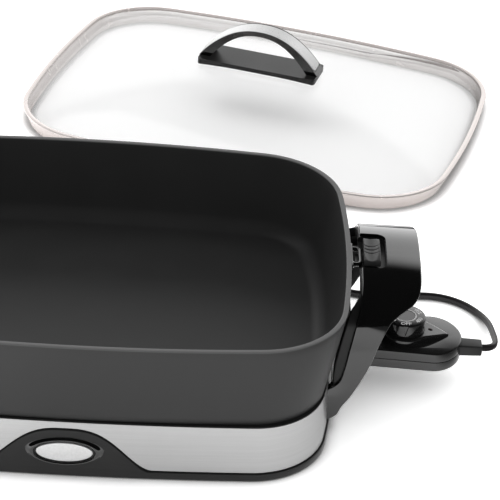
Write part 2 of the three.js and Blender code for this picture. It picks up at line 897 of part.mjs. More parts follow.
// Half of the arch seen from the end, from the arm's foot to the crest, inset by some depth
function archHalf(inset) {
  const points = [[armOuterY + archSplay * 0.1, pivotHeight - 2 * lobeRadius],
    [armOuterY, pivotHeight - lobeRadius]];
  points.push([archHalfSpan, archShoulderHeight]);
  const rise = archTop - archShoulderHeight;
  const steps = 12;
  for (let i = 1; i <= steps; i += 1) {
    const angle = (Math.PI / 2) * (i / steps);
    const y = archHalfSpan * Math.cos(angle) ** (2 / archFullness);
    const z = archShoulderHeight + rise * Math.sin(angle) ** (2 / archFullness);
    points.push([i === steps ? 0 : y, z]);
  }
  return points.map(([y, z], i) => {
    const before = points[Math.max(i - 1, 0)];
    const after = i === points.length - 1 ? [-points[i - 1][0], points[i - 1][1]] : points[i + 1];
    const dy = after[0] - before[0];
    const dz = after[1] - before[1];
    const length = Math.hypot(dy, dz);
    return [y - (inset * dz) / length, z + (inset * dy) / length];
  });
}

function archBand(outer, inner, x0, x1) {
  const near = archHalf(outer);
  const far = archHalf(inner);
  const whole = (half) => [...half, ...half.slice(0, -1).reverse().map(([y, z]) => [-y, z])];
  const ring = [...whole(near), ...whole(far).reverse()];
  const shape = new THREE.Shape(ring.map(([y, z]) => new THREE.Vector2(y, z)));
  return prismAlongX(shape, x0, x1);
}

// Space under the arch, a depth inside its outer face
function archHollow(depth) {
  const half = archHalf(depth);
  const shape = new THREE.Shape(
    [...half, ...half.slice(0, -1).reverse().map(([y, z]) => [-y, z])]
      .map(([y, z]) => new THREE.Vector2(y, z)));
  return prismAlongX(shape, handleX0, handleX1);
}

// Side view of a handle: round lobe at the pivot, slim arm, and a wide grip on top
function handleSide(inset) {
  const reach = gripOuter - gripInner;
  const rise = archTop - pivotHeight;
  const low = lobeRadius - inset;
  const shape = new THREE.Shape();
  const outerShares = [[-0.07, -0.27], [0, -0.2], [0.1, -0.06], [0.385, 0.22], [0.62, 0.37],
    [0.75, 0.49], [0.812, 0.617], [0.852, 0.743], [0.887, 0.855], [0.935, 0.943], [0.985, 0.985],
    [1.02, 1]];
  const innerShares = [[1.02, 0.01], [0.9, -0.01], [0.7, -0.085], [0.5, -0.15], [0.35, -0.2],
    [0.235, -0.26], [0.185, -0.35]];
  const place = ([up, out], side) => new THREE.Vector2(
    gripInner + out * reach - side * inset, pivotHeight + up * rise);
  shape.moveTo(pivotX - low * Math.SQRT1_2, pivotHeight + low * Math.SQRT1_2);
  shape.absarc(pivotX, pivotHeight, low, 0.75 * Math.PI, 1.67 * Math.PI, false);
  shape.splineThru(outerShares.map((share) => place(share, 1)));
  shape.lineTo(place(innerShares[0], -1).x, place(innerShares[0], -1).y);
  shape.splineThru(innerShares.slice(1).map((share) => place(share, -1)));
  return shape;
}

function handleProfile(inset) {
  return prismAlongY(handleSide(inset), -armOuterY - overrun, armOuterY + overrun, 3);
}

function notch(floor, grow) {
  const shape = roundedRectangle(gripInner - 3 * overrun, notchOuter + grow,
    -notchHalfLength - grow, notchHalfLength + grow, notchCorner);
  return prismAlongZ(shape, floor, archTop + overrun, 0, 4);
}

const linerOuter = shellThickness + gap;
const linerInner = linerOuter + linerThickness;

function handleShell() {
  return cut(
    common(archBand(0, shellThickness, handleX0, handleX1), handleProfile(0)),
    notch(notchFloor, 0),
  );
}

const springX = buttonInner + buttonDepth / 2;
const springSeat = notchFloor - buttonTravel;
const tongueX = bracketReach + 2 * gap;

function handleScrewPlaces() {
  return [1, -1].map((side) => [handleScrewX, side * handleScrewSpan]);
}

function linerUnderside(y) {
  const half = archHalf(linerInner);
  const top = half[half.length - 1][1];
  const found = half.find(([py]) => Math.abs(py) <= Math.abs(y));
  return Math.min(top, found[1]);
}

function handleLiner() {
  const screwLow = linerUnderside(handleScrewSpan);
  return cut(
    common(archBand(linerOuter, linerInner, handleX0, handleX1), handleProfile(linerInset)),
    notch(notchFloor, -gap),
    block(gripInner - overrun, tongueX + latchThickness + gap, -latchHalfWidth - gap,
      latchHalfWidth + gap, archShoulderHeight, archTop),
    block(gripInner - overrun, bracketReach + pocketGap, -bracketHalfLength - pocketGap,
      bracketHalfLength + pocketGap, bracketHeight - bracketThickness - pocketGap, archTop),
    rodAlongZ(springRadius + springWire + gap, springX, 0, springSeat, archTop),
    ...[1, -1].map((side) => sideRod(side, armPinRadius + gap, pocketInnerY - overrun,
      armOuterY - shellThickness)),
    ...handleScrewPlaces().flatMap(([x, y]) => [
      rodAlongZ(handleScrewRadius + gap, x, y, screwLow - overrun, archTop, 10),
      rodAlongZ(handleScrewHead + gap, x, y, screwLow - overrun,
        screwLow + handleScrewHeadHeight, 12),
    ]),
  );
}

function handleScrew([x, y]) {
  const low = linerUnderside(handleScrewSpan);
  return join(
    rodAlongZ(handleScrewRadius, x, y, low, low + linerThickness * 0.9, 10),
    rodAlongZ(handleScrewHead, x, y, low - gap, low + handleScrewHeadHeight - gap, 12),
  );
}

// Panel between the arms, following the pan's wall, with a tab at each end against the arm
function crossPanel() {
  const reach = archHalfSpan;
  const tabStart = wallX(panelTop) + panelWallGap + panelThickness / 2;
  const shape = new THREE.Shape();
  shape.moveTo(wallX(panelBottom) + panelWallGap, panelBottom);
  shape.lineTo(wallX(panelBottom) + panelWallGap + panelThickness, panelBottom);
  shape.lineTo(wallX(panelTop) + panelWallGap + panelThickness, panelTop);
  shape.lineTo(wallX(panelTop) + panelWallGap, panelTop);
  return cut(
    join(
      prismAlongY(shape, -reach, reach),
      cut(
        block(tabStart, panelTabReach, -reach, reach, panelBottom, panelTop),
        common(archHollow(linerInner + gap + panelTabInset),
          block(tabStart - overrun, panelTabReach + overrun, -reach, reach,
            panelBottom - overrun, panelTop + overrun)),
      ),
    ),
    archBand(-overrun, linerInner + gap, handleX0, handleX1),
  );
}

// Latch: a scooped button on a bent steel tongue that reaches under the bracket's bar
function latchButton() {
  const shape = new THREE.Shape();
  const steps = 10;
  shape.moveTo(-buttonHalfLength, buttonBottom);
  shape.lineTo(buttonHalfLength, buttonBottom);
  for (let i = steps; i >= 0; i -= 1) {
    const share = (2 * i) / steps - 1;
    shape.lineTo(buttonHalfLength * share, buttonTop - buttonCrown * share ** 2);
  }
  const cap = prismAlongX(shape, buttonInner, buttonInner + buttonDepth);
  const scoopFloor = buttonScoopRadius - buttonScoopDepth;
  const scoopHalfWidth = Math.sqrt(buttonScoopRadius ** 2 - scoopFloor ** 2);
  const scoopX = buttonInner + buttonDepth - buttonLip - scoopHalfWidth;
  const hollow = (grow, y0, y1) => rodAlongY(buttonScoopRadius + grow, scoopX, y0, y1,
    buttonTop + scoopFloor, 32);
  const scoop = hollow(0, -buttonHalfLength - overrun, buttonHalfLength + overrun);
  const pitch = (2 * buttonHalfLength) / (buttonRibs + 4);
  const grooves = Array.from({ length: buttonRibs }, (_, i) => {
    const y = pitch * (i - (buttonRibs - 1) / 2);
    return hollow(buttonRibDepth, y - buttonRibDepth, y + buttonRibDepth);
  });
  const seat = rodAlongZ(springRadius + springWire + gap, springX, 0,
    buttonBottom - overrun, buttonBottom + latchThickness / 2);
  return cut(cap, scoop, ...grooves, seat);
}

function latchTongue() {
  const reachZ = bracketHeight - bracketThickness - 2 * gap;
  const shape = new THREE.Shape();
  shape.moveTo(tongueX, buttonBottom - gap);
  shape.lineTo(tongueX, reachZ);
  shape.lineTo(bracketReach - 1.5 * bracketBar, reachZ);
  shape.lineTo(bracketReach - 1.5 * bracketBar, reachZ - latchThickness);
  shape.lineTo(tongueX + latchThickness, reachZ - latchThickness);
  shape.lineTo(tongueX + latchThickness, buttonBottom - gap);
  return prismAlongY(shape, -latchHalfWidth, latchHalfWidth);
}

function latchSpring() {
  const low = springSeat + gap + springWire;
  const high = buttonBottom + latchThickness / 2 - gap - springWire;
  const steps = springTurns * 8;
  const route = Array.from({ length: steps + 1 }, (_, i) => {
    const angle = (2 * Math.PI * i) / 8;
    return new THREE.Vector3(springX + springRadius * Math.cos(angle),
      springRadius * Math.sin(angle), low + ((high - low) * i) / steps);
  });
  return tube(route, springWire * Math.cos(Math.PI / 5), 5, steps);
}

function hingePin(side) {
  const seat = pocketInnerY - pocketWall - gap;
  const end = armY(pivotHeight + armPinRadius) - shellThickness - 2 * gap;
  return join(
    sideRod(side, armPinRadius, seat - pinHeadThickness / 2, end),
    sideRod(side, pinHeadRadius, seat - pinHeadThickness, seat),
  );
}

for (const [side, turn] of [['right', 0], ['left', Math.PI]]) {
  const handle = new THREE.Group();
  handle.rotation.z = turn;
  skillet.add(handle);
  piece(handle, `${side}_handle_shell`, handleShell(), glossBlack);
  piece(handle, `${side}_handle_liner`, handleLiner(), satinBlack);
  piece(handle, `${side}_cross_panel`, crossPanel(), matteGrey);
  handleScrewPlaces().forEach((place, i) => {
    piece(handle, `${side}_handle_screw_${i + 1}`, handleScrew(place), brightSteel);
  });
  piece(handle, `${side}_latch_button`, latchButton(), matteGrey);
  piece(handle, `${side}_latch_tongue`, latchTongue(), brightSteel);
  piece(handle, `${side}_latch_spring`, latchSpring(), brightSteel);
  [1, -1].forEach((end, i) => {
    piece(handle, `${side}_hinge_pin_${i + 1}`, hingePin(end), brightSteel);
  });
}

// Temperature control

function caseShape(grow) {
  const shape = new THREE.Shape();
  const end = caseEnd + grow;
  const half = caseHalfWidth + grow;
  shape.moveTo(caseStart, -caseNeckHalfWidth - grow);
  shape.quadraticCurveTo((caseStart + caseShoulder) / 2, -caseShoulderHalfWidth - grow,
    caseShoulder, -caseShoulderHalfWidth - grow);
  shape.lineTo(caseWidest, -half);
  shape.bezierCurveTo(caseWidest + (end - caseWidest) * 0.55, -half * 0.98,
    end, -half * 0.5, end, 0);
  shape.bezierCurveTo(end, half * 0.5, caseWidest + (end - caseWidest) * 0.55, half * 0.98,
    caseWidest, half);
  shape.lineTo(caseShoulder, caseShoulderHalfWidth + grow);
  shape.quadraticCurveTo((caseStart + caseShoulder) / 2, caseShoulderHalfWidth + grow,
    caseStart, caseNeckHalfWidth + grow);
  shape.closePath();
  return shape;
}

// Boat-shaped platform under the dial, drawn out to a point on the cord side
function hullShape() {
  const shape = new THREE.Shape();
  const tangent = Math.acos(hullRadius / (hullApex - dialX)) * 0.72;
  const x = dialX + hullRadius * Math.cos(tangent);
  const y = hullRadius * Math.sin(tangent);
  shape.moveTo(x, -y);
  shape.quadraticCurveTo((x + hullApex) / 2, -y * 0.62, hullApex, 0);
  shape.quadraticCurveTo((x + hullApex) / 2, y * 0.62, x, y);
  shape.absarc(dialX, 0, hullRadius, tangent, 2 * Math.PI - tangent, false);
  return shape;
}

// Top of the platform, which falls from the dial to the point
function hullSurface(x) {
  return hullTop - (hullNoseDrop * Math.max(x - hullBreak, 0)) / (hullApex - hullBreak);
}

function hullSlope() {
  const shape = new THREE.Shape();
  shape.moveTo(hullBreak, hullTop + overrun);
  shape.lineTo(hullBreak, hullTop);
  shape.lineTo(hullApex, hullSurface(hullApex));
  shape.lineTo(hullApex + overrun, hullSurface(hullApex));
  shape.lineTo(hullApex + overrun, hullTop + overrun);
  return prismAlongY(shape, -hullRadius - overrun, hullRadius + overrun);
}

// All of the case's plan between two heights
function caseLayer(z0, z1) {
  return block(caseStart - overrun, caseEnd + overrun, -caseHalfWidth - overrun,
    caseHalfWidth + overrun, z0, z1);
}

// Seat for the strain relief in the end of the case
function reliefRoom() {
  return block(reliefStart - gap, caseEnd + overrun, -reliefHalfWidth - gap, reliefHalfWidth + gap,
    reliefHeight - reliefHalfHeight - gap, reliefHeight + reliefHalfHeight + gap);
}

const control = new THREE.Group();
skillet.add(control);

piece(control, 'control_upper_shell', cut(
  join(
    prismAlongZ(caseShape(0), caseSplit - 2 * caseRounding, caseTop, caseRounding, 6),
    prismAlongZ(hullShape(), caseTop - caseRounding, hullTop, caseRounding / 2, 6),
  ),
  caseLayer(caseSplit - 3 * caseRounding, caseSplit),
  hullSlope(),
  rodAlongZ(dialRadius + 2 * gap, dialX, 0, dialBottom - gap, dialTop, 32),
  rodAlongZ(dialStemRadius + gap, dialX, 0, dialBottom - dialStemLength - gap, dialTop),
  rodAlongZ(lensRadius + gap, lensX, 0, hullSurface(lensX) - 2 * lensRadius - gap,
    hullTop + overrun, 12),
  reliefRoom(),
), glossBlack);

const controlScrewPlaces = [[caseStart + 4 * controlScrewRadius, 0], [caseWidest, 0]];

piece(control, 'control_lower_shell', cut(
  prismAlongZ(caseShape(0), caseBottom, caseSplit + 2 * caseRounding, caseRounding, 6),
  caseLayer(caseSplit - gap, caseSplit + 3 * caseRounding),
  reliefRoom(),
  ...controlScrewPlaces.map(([x, y]) => rodAlongZ(controlScrewRadius + gap, x, y,
    caseBottom - overrun, caseBottom + controlScrewHeight + gap, 12)),
), glossBlack);

controlScrewPlaces.forEach(([x, y], i) => {
  piece(control, `control_screw_${i + 1}`, rodAlongZ(controlScrewRadius, x, y, caseBottom,
    caseBottom + controlScrewHeight, 12), brightSteel);
});

piece(control, 'contact_block', cut(
  prismAlongX(roundedRectangle(-blockHalfWidth, blockHalfWidth, blockBottom, blockTop,
    caseRounding), blockStart, blockEnd, 3),
  rodAlongX(sensorRadius + gap, blockStart - overrun, blockEnd - gap, 0, controlHeight - gap),
  ...[1, -1].map((side) => rodAlongX(terminalRadius + gap, blockStart - overrun,
    terminalEnd + gap, side * terminalSpan, controlHeight, 12)),
), ceramic);

piece(control, 'sensor_rod', rodAlongX(sensorRadius, sensorTip, blockEnd - 2 * gap, 0,
  controlHeight), brightSteel);

piece(control, 'pilot_lens', new THREE.SphereGeometry(lensRadius, 12, 8)
  .translate(lensX, 0, hullSurface(lensX) - lensRadius / 2), amber);

// Dial with a domed edge, a pointer groove in its side and a stem in the case
function dial() {
  const profile = [
    [0, dialBottom - dialStemLength],
    [dialStemRadius, dialBottom - dialStemLength],
    [dialStemRadius, dialBottom],
    [dialRadius, dialBottom],
    [dialRadius, dialTop - dialRounding],
    [dialRadius - dialRounding, dialTop],
    [0, dialTop],
  ].map(([x, z]) => new THREE.Vector2(x, z));
  const body = new THREE.LatheGeometry(profile, 32).rotateX(Math.PI / 2);
  const groove = new THREE.Shape();
  groove.moveTo(-pointerWidth / 2, dialTop - dialRounding);
  groove.lineTo(0, dialTop - dialRounding - pointerHeight);
  groove.lineTo(pointerWidth / 2, dialTop - dialRounding);
  return cut(body, prismAlongY(groove, -dialRadius - overrun, -dialRadius + pointerDepth))
    .translate(dialX, 0, 0);
}
piece(control, 'temperature_dial', dial(), glossBlack);

// Strain relief: a tapered rectangular boot, seated in the case's end
function reliefSection(x, inset) {
  return roundedRectangle(-reliefHalfWidth + inset, reliefHalfWidth - inset,
    reliefHeight - reliefHalfHeight + inset, reliefHeight + reliefHalfHeight - inset,
    caseRounding).getPoints(3).slice(0, -1).map(({ x: y, y: z }) => new THREE.Vector3(x, y, z));
}
piece(control, 'strain_relief', loft([
  reliefSection(reliefStart, 0),
  reliefSection(caseEnd, 0),
  reliefSection(reliefEnd - gap, reliefTaper),
  reliefSection(reliefEnd, reliefTaper + gap),
]), matteGrey);

// Cord: out of the strain relief, down to the surface, behind the handle and the pan
const cordRoute = [
  [325.6, 0, 32], [329.4, 0.4, 31.9], [333.4, 3.2, 31.2], [336.4, 8.6, 29.7], [338, 15.6, 27.6],
  [338.8, 24, 25], [339.2, 34, 21.6], [339.6, 46, 17.4], [339.9, 58, 13.2], [339.8, 69, 9.6],
  [338.7, 79.6, 6.6], [336, 89.6, 4.5], [331.2, 98.8, 3.4], [324.6, 106.8, 3.1],
  [316.2, 113.2, 3.1], [306, 118, 3.1], [295, 120.2, 3.1], [283, 120, 3.1], [270, 118.6, 3.1],
  [256, 117.4, 3.1], [242, 117, 3.1], [228, 118, 3.1], [216, 122, 3.1], [206, 129.4, 3.1],
  [198.6, 139.6, 3.1], [191.6, 151, 3.1], [182.6, 161.6, 3.1], [171, 170, 3.1],
  [157, 175.6, 3.1], [141, 177.6, 3.1],
].map(([x, y, z]) => new THREE.Vector3(x, y, z));

const cordRadius = cordDiameter / 2;
const cordLift = cordRadius + gap / 3;
const coilOuter = coilMiddleRadius + coilPitch / 2;
const coilInner = coilMiddleRadius - coilPitch / 2;
const runRoute = [...cordRoute, new THREE.Vector3(coilStartX, coilY - coilOuter, cordLift)];
piece(control, 'cord_run', tube(runRoute, cordRadius * Math.cos(Math.PI / 8), 8, 40), cordBlack);

// Coil of two layers: in along the lower layer, up in half a turn, out along the upper one
function coilRoute() {
  const points = [];
  const each = coilTurnsEachLayer * coilStepsPerTurn;
  const lift = coilStepsPerTurn / 2;
  const total = 2 * each + lift;
  for (let i = 0; i <= total; i += 1) {
    const angle = -Math.PI / 2 - (2 * Math.PI * i) / coilStepsPerTurn;
    const inward = Math.min(i / each, 1);
    const outward = Math.max((i - each - lift) / each, 0);
    const radius = coilOuter + (coilInner - coilOuter) * (inward - outward);
    const z = cordLift + coilClimb * THREE.MathUtils.clamp((i - each) / lift, 0, 1);
    points.push(new THREE.Vector3(coilX + radius * Math.cos(angle),
      coilY + radius * Math.sin(angle), z));
  }
  const first = points[0].clone();
  first.x = coilStartX - gap;
  const last = points[points.length - 1];
  const before = points[points.length - 2];
  const tangent = last.clone().sub(before).setZ(0).normalize();
  const exit = last.clone().addScaledVector(tangent, 2 * cordDiameter);
  const end = exit.clone().addScaledVector(tangent, cordDiameter);
  const lead = new THREE.Vector3((first.x + points[0].x) / 2, points[0].y, cordLift);
  return { route: [first, lead, ...points, exit, end], end, tangent };
}

function reportSelfGap(route) {
  const curve = new THREE.CatmullRomCurve3(route, false, 'centripetal');
  const samples = curve.getSpacedPoints(700);
  const step = curve.getLength() / 700;
  const skip = Math.ceil((2 * cordDiameter) / step);
  let least = Infinity;
  for (let i = 0; i < samples.length; i += 1) {
    for (let j = i + skip; j < samples.length; j += 1) {
      least = Math.min(least, samples[i].distanceTo(samples[j]));
    }
  }
  console.log(`cord coil: ${curve.getLength().toFixed(1)} mm long, least gap to itself `
    + `${(least - cordDiameter).toFixed(2)} mm`);
}

const coil = coilRoute();
reportSelfGap(coil.route);
piece(control, 'cord_coil', tube(coil.route, cordRadius * Math.cos(Math.PI / 6), 6,
  coil.route.length - 1), cordBlack);

const runCurve = new THREE.CatmullRomCurve3(runRoute, false, 'centripetal');
console.log(`cord run: ${runCurve.getLength().toFixed(1)} mm long`);

// Plug: a moulded body that tapers to the cord, with two flat blades
function plugBody() {
  const half = [
    [0, 0.3], [0.12, 0.42], [0.35, 0.62], [0.55, 0.9], [0.9, 1], [1, 0.96],
  ];
  const rings = half.map(([alongShare, sizeShare]) => {
    const x = plugLength * alongShare;
    const halfY = plugHalfWidth * sizeShare;
    const halfZ = (plugHeight / 2) * (0.42 + 0.58 * sizeShare);
    const corners = 16;
    return Array.from({ length: corners }, (_, i) => {
      const angle = (2 * Math.PI * (i + 0.5)) / corners;
      const c = Math.cos(angle);
      const s = Math.sin(angle);
      return new THREE.Vector3(x, halfY * Math.sign(c) * Math.abs(c) ** 0.6,
        halfZ * Math.sign(s) * Math.abs(s) ** 0.6);
    });
  });
  return loft(rings);
}

const plug = new THREE.Group();
plug.position.copy(coil.end).addScaledVector(coil.tangent, gap);
plug.position.z = plugHeight / 2 + gap / 3;
plug.rotation.z = Math.atan2(coil.tangent.y, coil.tangent.x);
control.add(plug);
piece(plug, 'plug_body', plugBody(), cordBlack);
[1, -1].forEach((side, i) => {
  const y = (side * bladeSpacing) / 2;
  piece(plug, `plug_blade_${i + 1}`, block(plugLength + gap, plugLength + bladeLength,
    y - bladeThickness / 2, y + bladeThickness / 2, -bladeWidth / 2, bladeWidth / 2), silver);
});

// Lid

const lid = new THREE.Group();
lid.position.set(lidX, lidY, 0);
lid.rotation.z = THREE.MathUtils.degToRad(lidYaw);
skillet.add(lid);

const lidSize = {
  halfLength: rimHalfLength + lidOverhang,
  halfWidth: rimHalfWidth + lidOverhang,
  sideBow: rimSideBow + lidOverhang,
  endBow: rimEndBow + lidOverhang,
  corner: rimCorner + lidOverhang,
};

const landHeight = lidRimHeight - lidSheet;

function lidRim() {
  const profile = [
    [lidRimLean, 0],
    [lidRimLean - lidSkirtBead, 0],
    [lidRimLean - lidSkirtBead, lidSkirtBead],
    [lidSheet / 2, landHeight],
    [0, landHeight + lidSheet / 2],
    [lidSheet / 2, lidRimHeight],
    [lidRimLand, lidRimHeight],
    [lidRimLand, landHeight],
    [2 * lidSheet, landHeight],
    [lidRimLean + lidSheet / 2, lidSkirtBead],
    [lidRimLean + lidSheet / 2, 0],
  ];
  return loft(profile.map(([inset, z]) => outline(lidSize, inset, z)), true);
}
piece(lid, 'lid_rim', lidRim(), warmSteel);

// Height of the glass dome's upper face where the outline is shrunk to a share of its size
function domeHeight(share) {
  const edge = landHeight - gap;
  return edge + glassRise * (1 - share ** glassFullness);
}

function domeRing(share, drop) {
  const edge = outline(lidSize, lidRimLand + gap, 0);
  return edge.map((point) => new THREE.Vector3(point.x * share, point.y * share,
    domeHeight(share) - drop));
}

const domeShares = [0.1, 0.32, 0.52, 0.7, 0.84, 0.94, 1];
const glassEdgeInset = 2 * lidSheet + gap + glassThickness * 0.5;

function lidGlass() {
  const edgeHigh = landHeight - gap;
  const edgeLow = edgeHigh - glassThickness;
  const upper = domeShares.map((share) => domeRing(share, 0));
  const lower = domeShares.slice(0, -1).reverse().map((share) => domeRing(share, glassThickness));
  return loft([...upper,
    outline(lidSize, glassEdgeInset, edgeHigh),
    outline(lidSize, glassEdgeInset, edgeLow + glassThickness / 2),
    outline(lidSize, lidRimLand + glassThickness / 2, edgeLow),
    ...lower]);
}

const domeTop = domeHeight(domeShares[0]);

function lidHoles(radius) {
  return [1, -1].map((side) => rodAlongZ(radius, side * lidScrewSpan, 0,
    domeTop - 4 * overrun, domeTop + 4 * overrun, 12));
}

piece(lid, 'lid_glass', cut(lidGlass(), ...lidHoles(lidScrewRadius + gap)), clearGlass);

// Space taken by the glass and a clearance above it, for what is shaped to sit on the dome
function domeSpace(clearance) {
  return loft([
    domeRing(1, 2 * glassThickness),
    ...[...domeShares].reverse().map((share) => domeRing(share, -clearance)),
  ]);
}

const knobBottom = domeTop + gap;
const knobBaseTop = domeTop + gap + knobBaseHeight;

// Side view of the handle arch between two heights above its base
function archOutline(low, high, halfLength) {
  const shape = new THREE.Shape();
  shape.moveTo(-halfLength, knobBaseTop + low);
  const steps = 16;
  for (let i = 0; i <= steps; i += 1) {
    const share = (2 * i) / steps - 1;
    const z = knobBaseTop + low + (high - low) * (1 - Math.abs(share) ** 2.2);
    shape.lineTo(halfLength * share, z);
  }
  return shape;
}

function knobBase() {
  const low = knobBottom - knobBaseHeight;
  const plan = roundedRectangle(-knobHalfLength, knobHalfLength, -knobHalfWidth, knobHalfWidth,
    knobHalfWidth * 0.18);
  return cut(
    prismAlongZ(plan, low, knobBaseTop, 0, 4),
    domeSpace(gap),
    ...lidHoles(lidScrewRadius + gap),
  );
}
piece(lid, 'lid_handle_base', knobBase(), satinBlack);

function archSolid(low, high, halfLength, halfWidth) {
  return prismAlongY(archOutline(low, high, halfLength), -halfWidth, halfWidth);
}

const archInnerHalf = knobHalfLength - knobPost;

piece(lid, 'lid_handle_arch', cut(
  archSolid(gap, knobArchRise, knobHalfLength, knobArchHalfWidth),
  archSolid(gap - overrun, knobArchRise - knobArchThickness, archInnerHalf,
    knobArchHalfWidth + overrun),
), glossBlack);

// Screw from below with a wide washer head against the glass
function lidScrew(x) {
  const share = Math.abs(x) / lidSize.halfLength;
  const under = domeHeight(share) - glassThickness;
  return join(
    rodAlongZ(lidScrewRadius, x, 0, under - lidScrewHeadHeight, knobBaseTop - gap, 12),
    rodAlongZ(lidScrewHead, x, 0, under - lidScrewHeadHeight - 3 * gap, under - 3 * gap, 16),
  );
}
[1, -1].forEach((side, i) => {
  piece(lid, `lid_screw_${i + 1}`, lidScrew(side * lidScrewSpan), brightSteel);
});

piece(lid, 'lid_handle_strap', cut(
  archSolid(gap, knobArchRise + gap + strapThickness, knobHalfLength + gap + strapThickness,
    strapHalfWidth),
  archSolid(gap, knobArchRise + gap, knobHalfLength + gap, strapHalfWidth + overrun),
  block(-2 * knobHalfLength, 2 * knobHalfLength, -2 * strapHalfWidth, 2 * strapHalfWidth,
    knobBaseTop - overrun, knobBaseTop + gap),
), brushedSteel);

const skilletBox = new THREE.Box3();
const cordPieces = ['cord_run', 'cord_coil', 'plug_body', 'plug_blade_1', 'plug_blade_2',
  'strain_relief'];
const whole = new THREE.Group();
whole.add(skillet);
whole.updateMatrixWorld(true);
skillet.traverse((object) => {
  if (object.isMesh && !cordPieces.includes(object.name)) {
    skilletBox.union(new THREE.Box3().setFromObject(object, true));
  }
});
const middle = skilletBox.getCenter(new THREE.Vector3());
skillet.position.set(-middle.x, -middle.y, 0);

export default whole;
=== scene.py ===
"""Looks of an electric skillet: pan, base, latched handles, plug-in control, cord and glass lid.

Lengths are written in millimetres about the skillet's own centre and turned into metres in the
frame by at() and the mesh builders.
"""

import math

import bpy
from mathutils import Matrix, Vector


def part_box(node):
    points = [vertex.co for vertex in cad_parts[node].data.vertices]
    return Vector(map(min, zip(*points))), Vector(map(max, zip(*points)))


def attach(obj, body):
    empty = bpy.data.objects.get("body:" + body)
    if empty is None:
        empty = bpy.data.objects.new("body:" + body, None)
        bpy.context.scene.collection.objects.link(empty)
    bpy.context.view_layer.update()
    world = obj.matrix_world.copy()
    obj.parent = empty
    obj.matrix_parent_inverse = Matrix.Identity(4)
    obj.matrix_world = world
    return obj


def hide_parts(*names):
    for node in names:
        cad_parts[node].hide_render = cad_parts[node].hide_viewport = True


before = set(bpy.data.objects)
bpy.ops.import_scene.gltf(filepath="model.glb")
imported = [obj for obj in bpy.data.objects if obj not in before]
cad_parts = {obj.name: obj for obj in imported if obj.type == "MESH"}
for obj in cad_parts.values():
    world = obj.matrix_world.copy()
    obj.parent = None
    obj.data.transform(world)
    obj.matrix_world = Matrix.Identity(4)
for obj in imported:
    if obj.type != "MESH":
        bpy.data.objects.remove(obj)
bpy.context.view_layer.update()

MM = 0.001
GAP = 0.3
low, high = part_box("pan_body")
CENTRE = Vector(((low[0] + high[0]) / 2, (low[1] + high[1]) / 2, 0))


def at(x, y, z):
    """A point given in millimetres about the skillet's centre, in the frame's metres."""
    return Vector((x * MM, y * MM, z * MM)) + CENTRE


# Camera

CAMERA_PLACE = (91.06, -1500.62, 1021.99)
CAMERA_AZIMUTH = math.radians(-1.58)
CAMERA_ELEVATION = math.radians(31.22)
CAMERA_ROLL = math.radians(4.03)
CAMERA_LENS = 2224.7 / 500 * 36


def make_camera():
    a, e, r = CAMERA_AZIMUTH, CAMERA_ELEVATION, CAMERA_ROLL
    back = Vector((math.sin(a) * math.cos(e), -math.cos(a) * math.cos(e), math.sin(e)))
    right = Vector((math.cos(a), math.sin(a), 0))
    up = back.cross(right)
    rolled_right = right * math.cos(r) + up * math.sin(r)
    rolled_up = up * math.cos(r) - right * math.sin(r)
    data = bpy.data.cameras.new("camera")
    data.lens = CAMERA_LENS
    data.sensor_width = 36
    data.clip_start = 0.05
    data.clip_end = 30
    camera = bpy.data.objects.new("camera", data)
    bpy.context.scene.collection.objects.link(camera)
    turn = Matrix((rolled_right, rolled_up, back)).transposed()
    camera.matrix_world = Matrix.Translation(at(*CAMERA_PLACE)) @ turn.to_4x4()
    bpy.context.scene.camera = camera


make_camera()


# Shader fields

class Field:
    """A value in a node tree that can be used in ordinary sums."""

    def __init__(self, nodes, socket):
        self.nodes = nodes
        self.socket = socket

    def maths(self, operation, first, second, clamp=False):
        return self.nodes.node("ShaderNodeMath", 0, {"operation": operation, "use_clamp": clamp},
                               {0: first, 1: second})

    def __add__(self, other):
        return self.maths("ADD", self, other)

    def __radd__(self, other):
        return self.maths("ADD", other, self)

    def __sub__(self, other):
        return self.maths("SUBTRACT", self, other)

    def __rsub__(self, other):
        return self.maths("SUBTRACT", other, self)

    def __mul__(self, other):
        return self.maths("MULTIPLY", self, other)

    def __rmul__(self, other):
        return self.maths("MULTIPLY", other, self)

    def __pow__(self, other):
        return self.maths("POWER", self, other)

    def __rpow__(self, other):
        return self.maths("POWER", other, self)

    def clamped(self):
        return self.maths("ADD", self, 0, clamp=True)

    def ramp(self, start, end):
        """0 below start, 1 above end, smooth between."""
        settings = {"interpolation_type": "SMOOTHSTEP"}
        return self.nodes.node("ShaderNodeMapRange", "Result", settings,
                               {"Value": self, "From Min": start, "From Max": end})


class Nodes:
    """The nodes of a material or of the world."""

    def __init__(self, tree):
        self.tree = tree

    def feed(self, slot, value):
        if isinstance(value, Field):
            self.tree.links.new(value.socket, slot)
        else:
            slot.default_value = value

    def node(self, kind, output=0, settings=None, sockets=None):
        """A new node, its settings made first and then its sockets fed by name or number."""
        node = self.tree.nodes.new(kind)
        for key, value in (settings or {}).items():
            setattr(node, key, value)
        for key, value in (sockets or {}).items():
            self.feed(node.inputs[key], value)
        return Field(self, node.outputs[output])

    def ray(self, kind):
        """1 for rays of a kind, such as Camera, and 0 for others."""
        return self.node("ShaderNodeLightPath", f"Is {kind} Ray")

    def split(self, vector, axis):
        return self.node("ShaderNodeSeparateXYZ", axis, sockets={"Vector": vector})


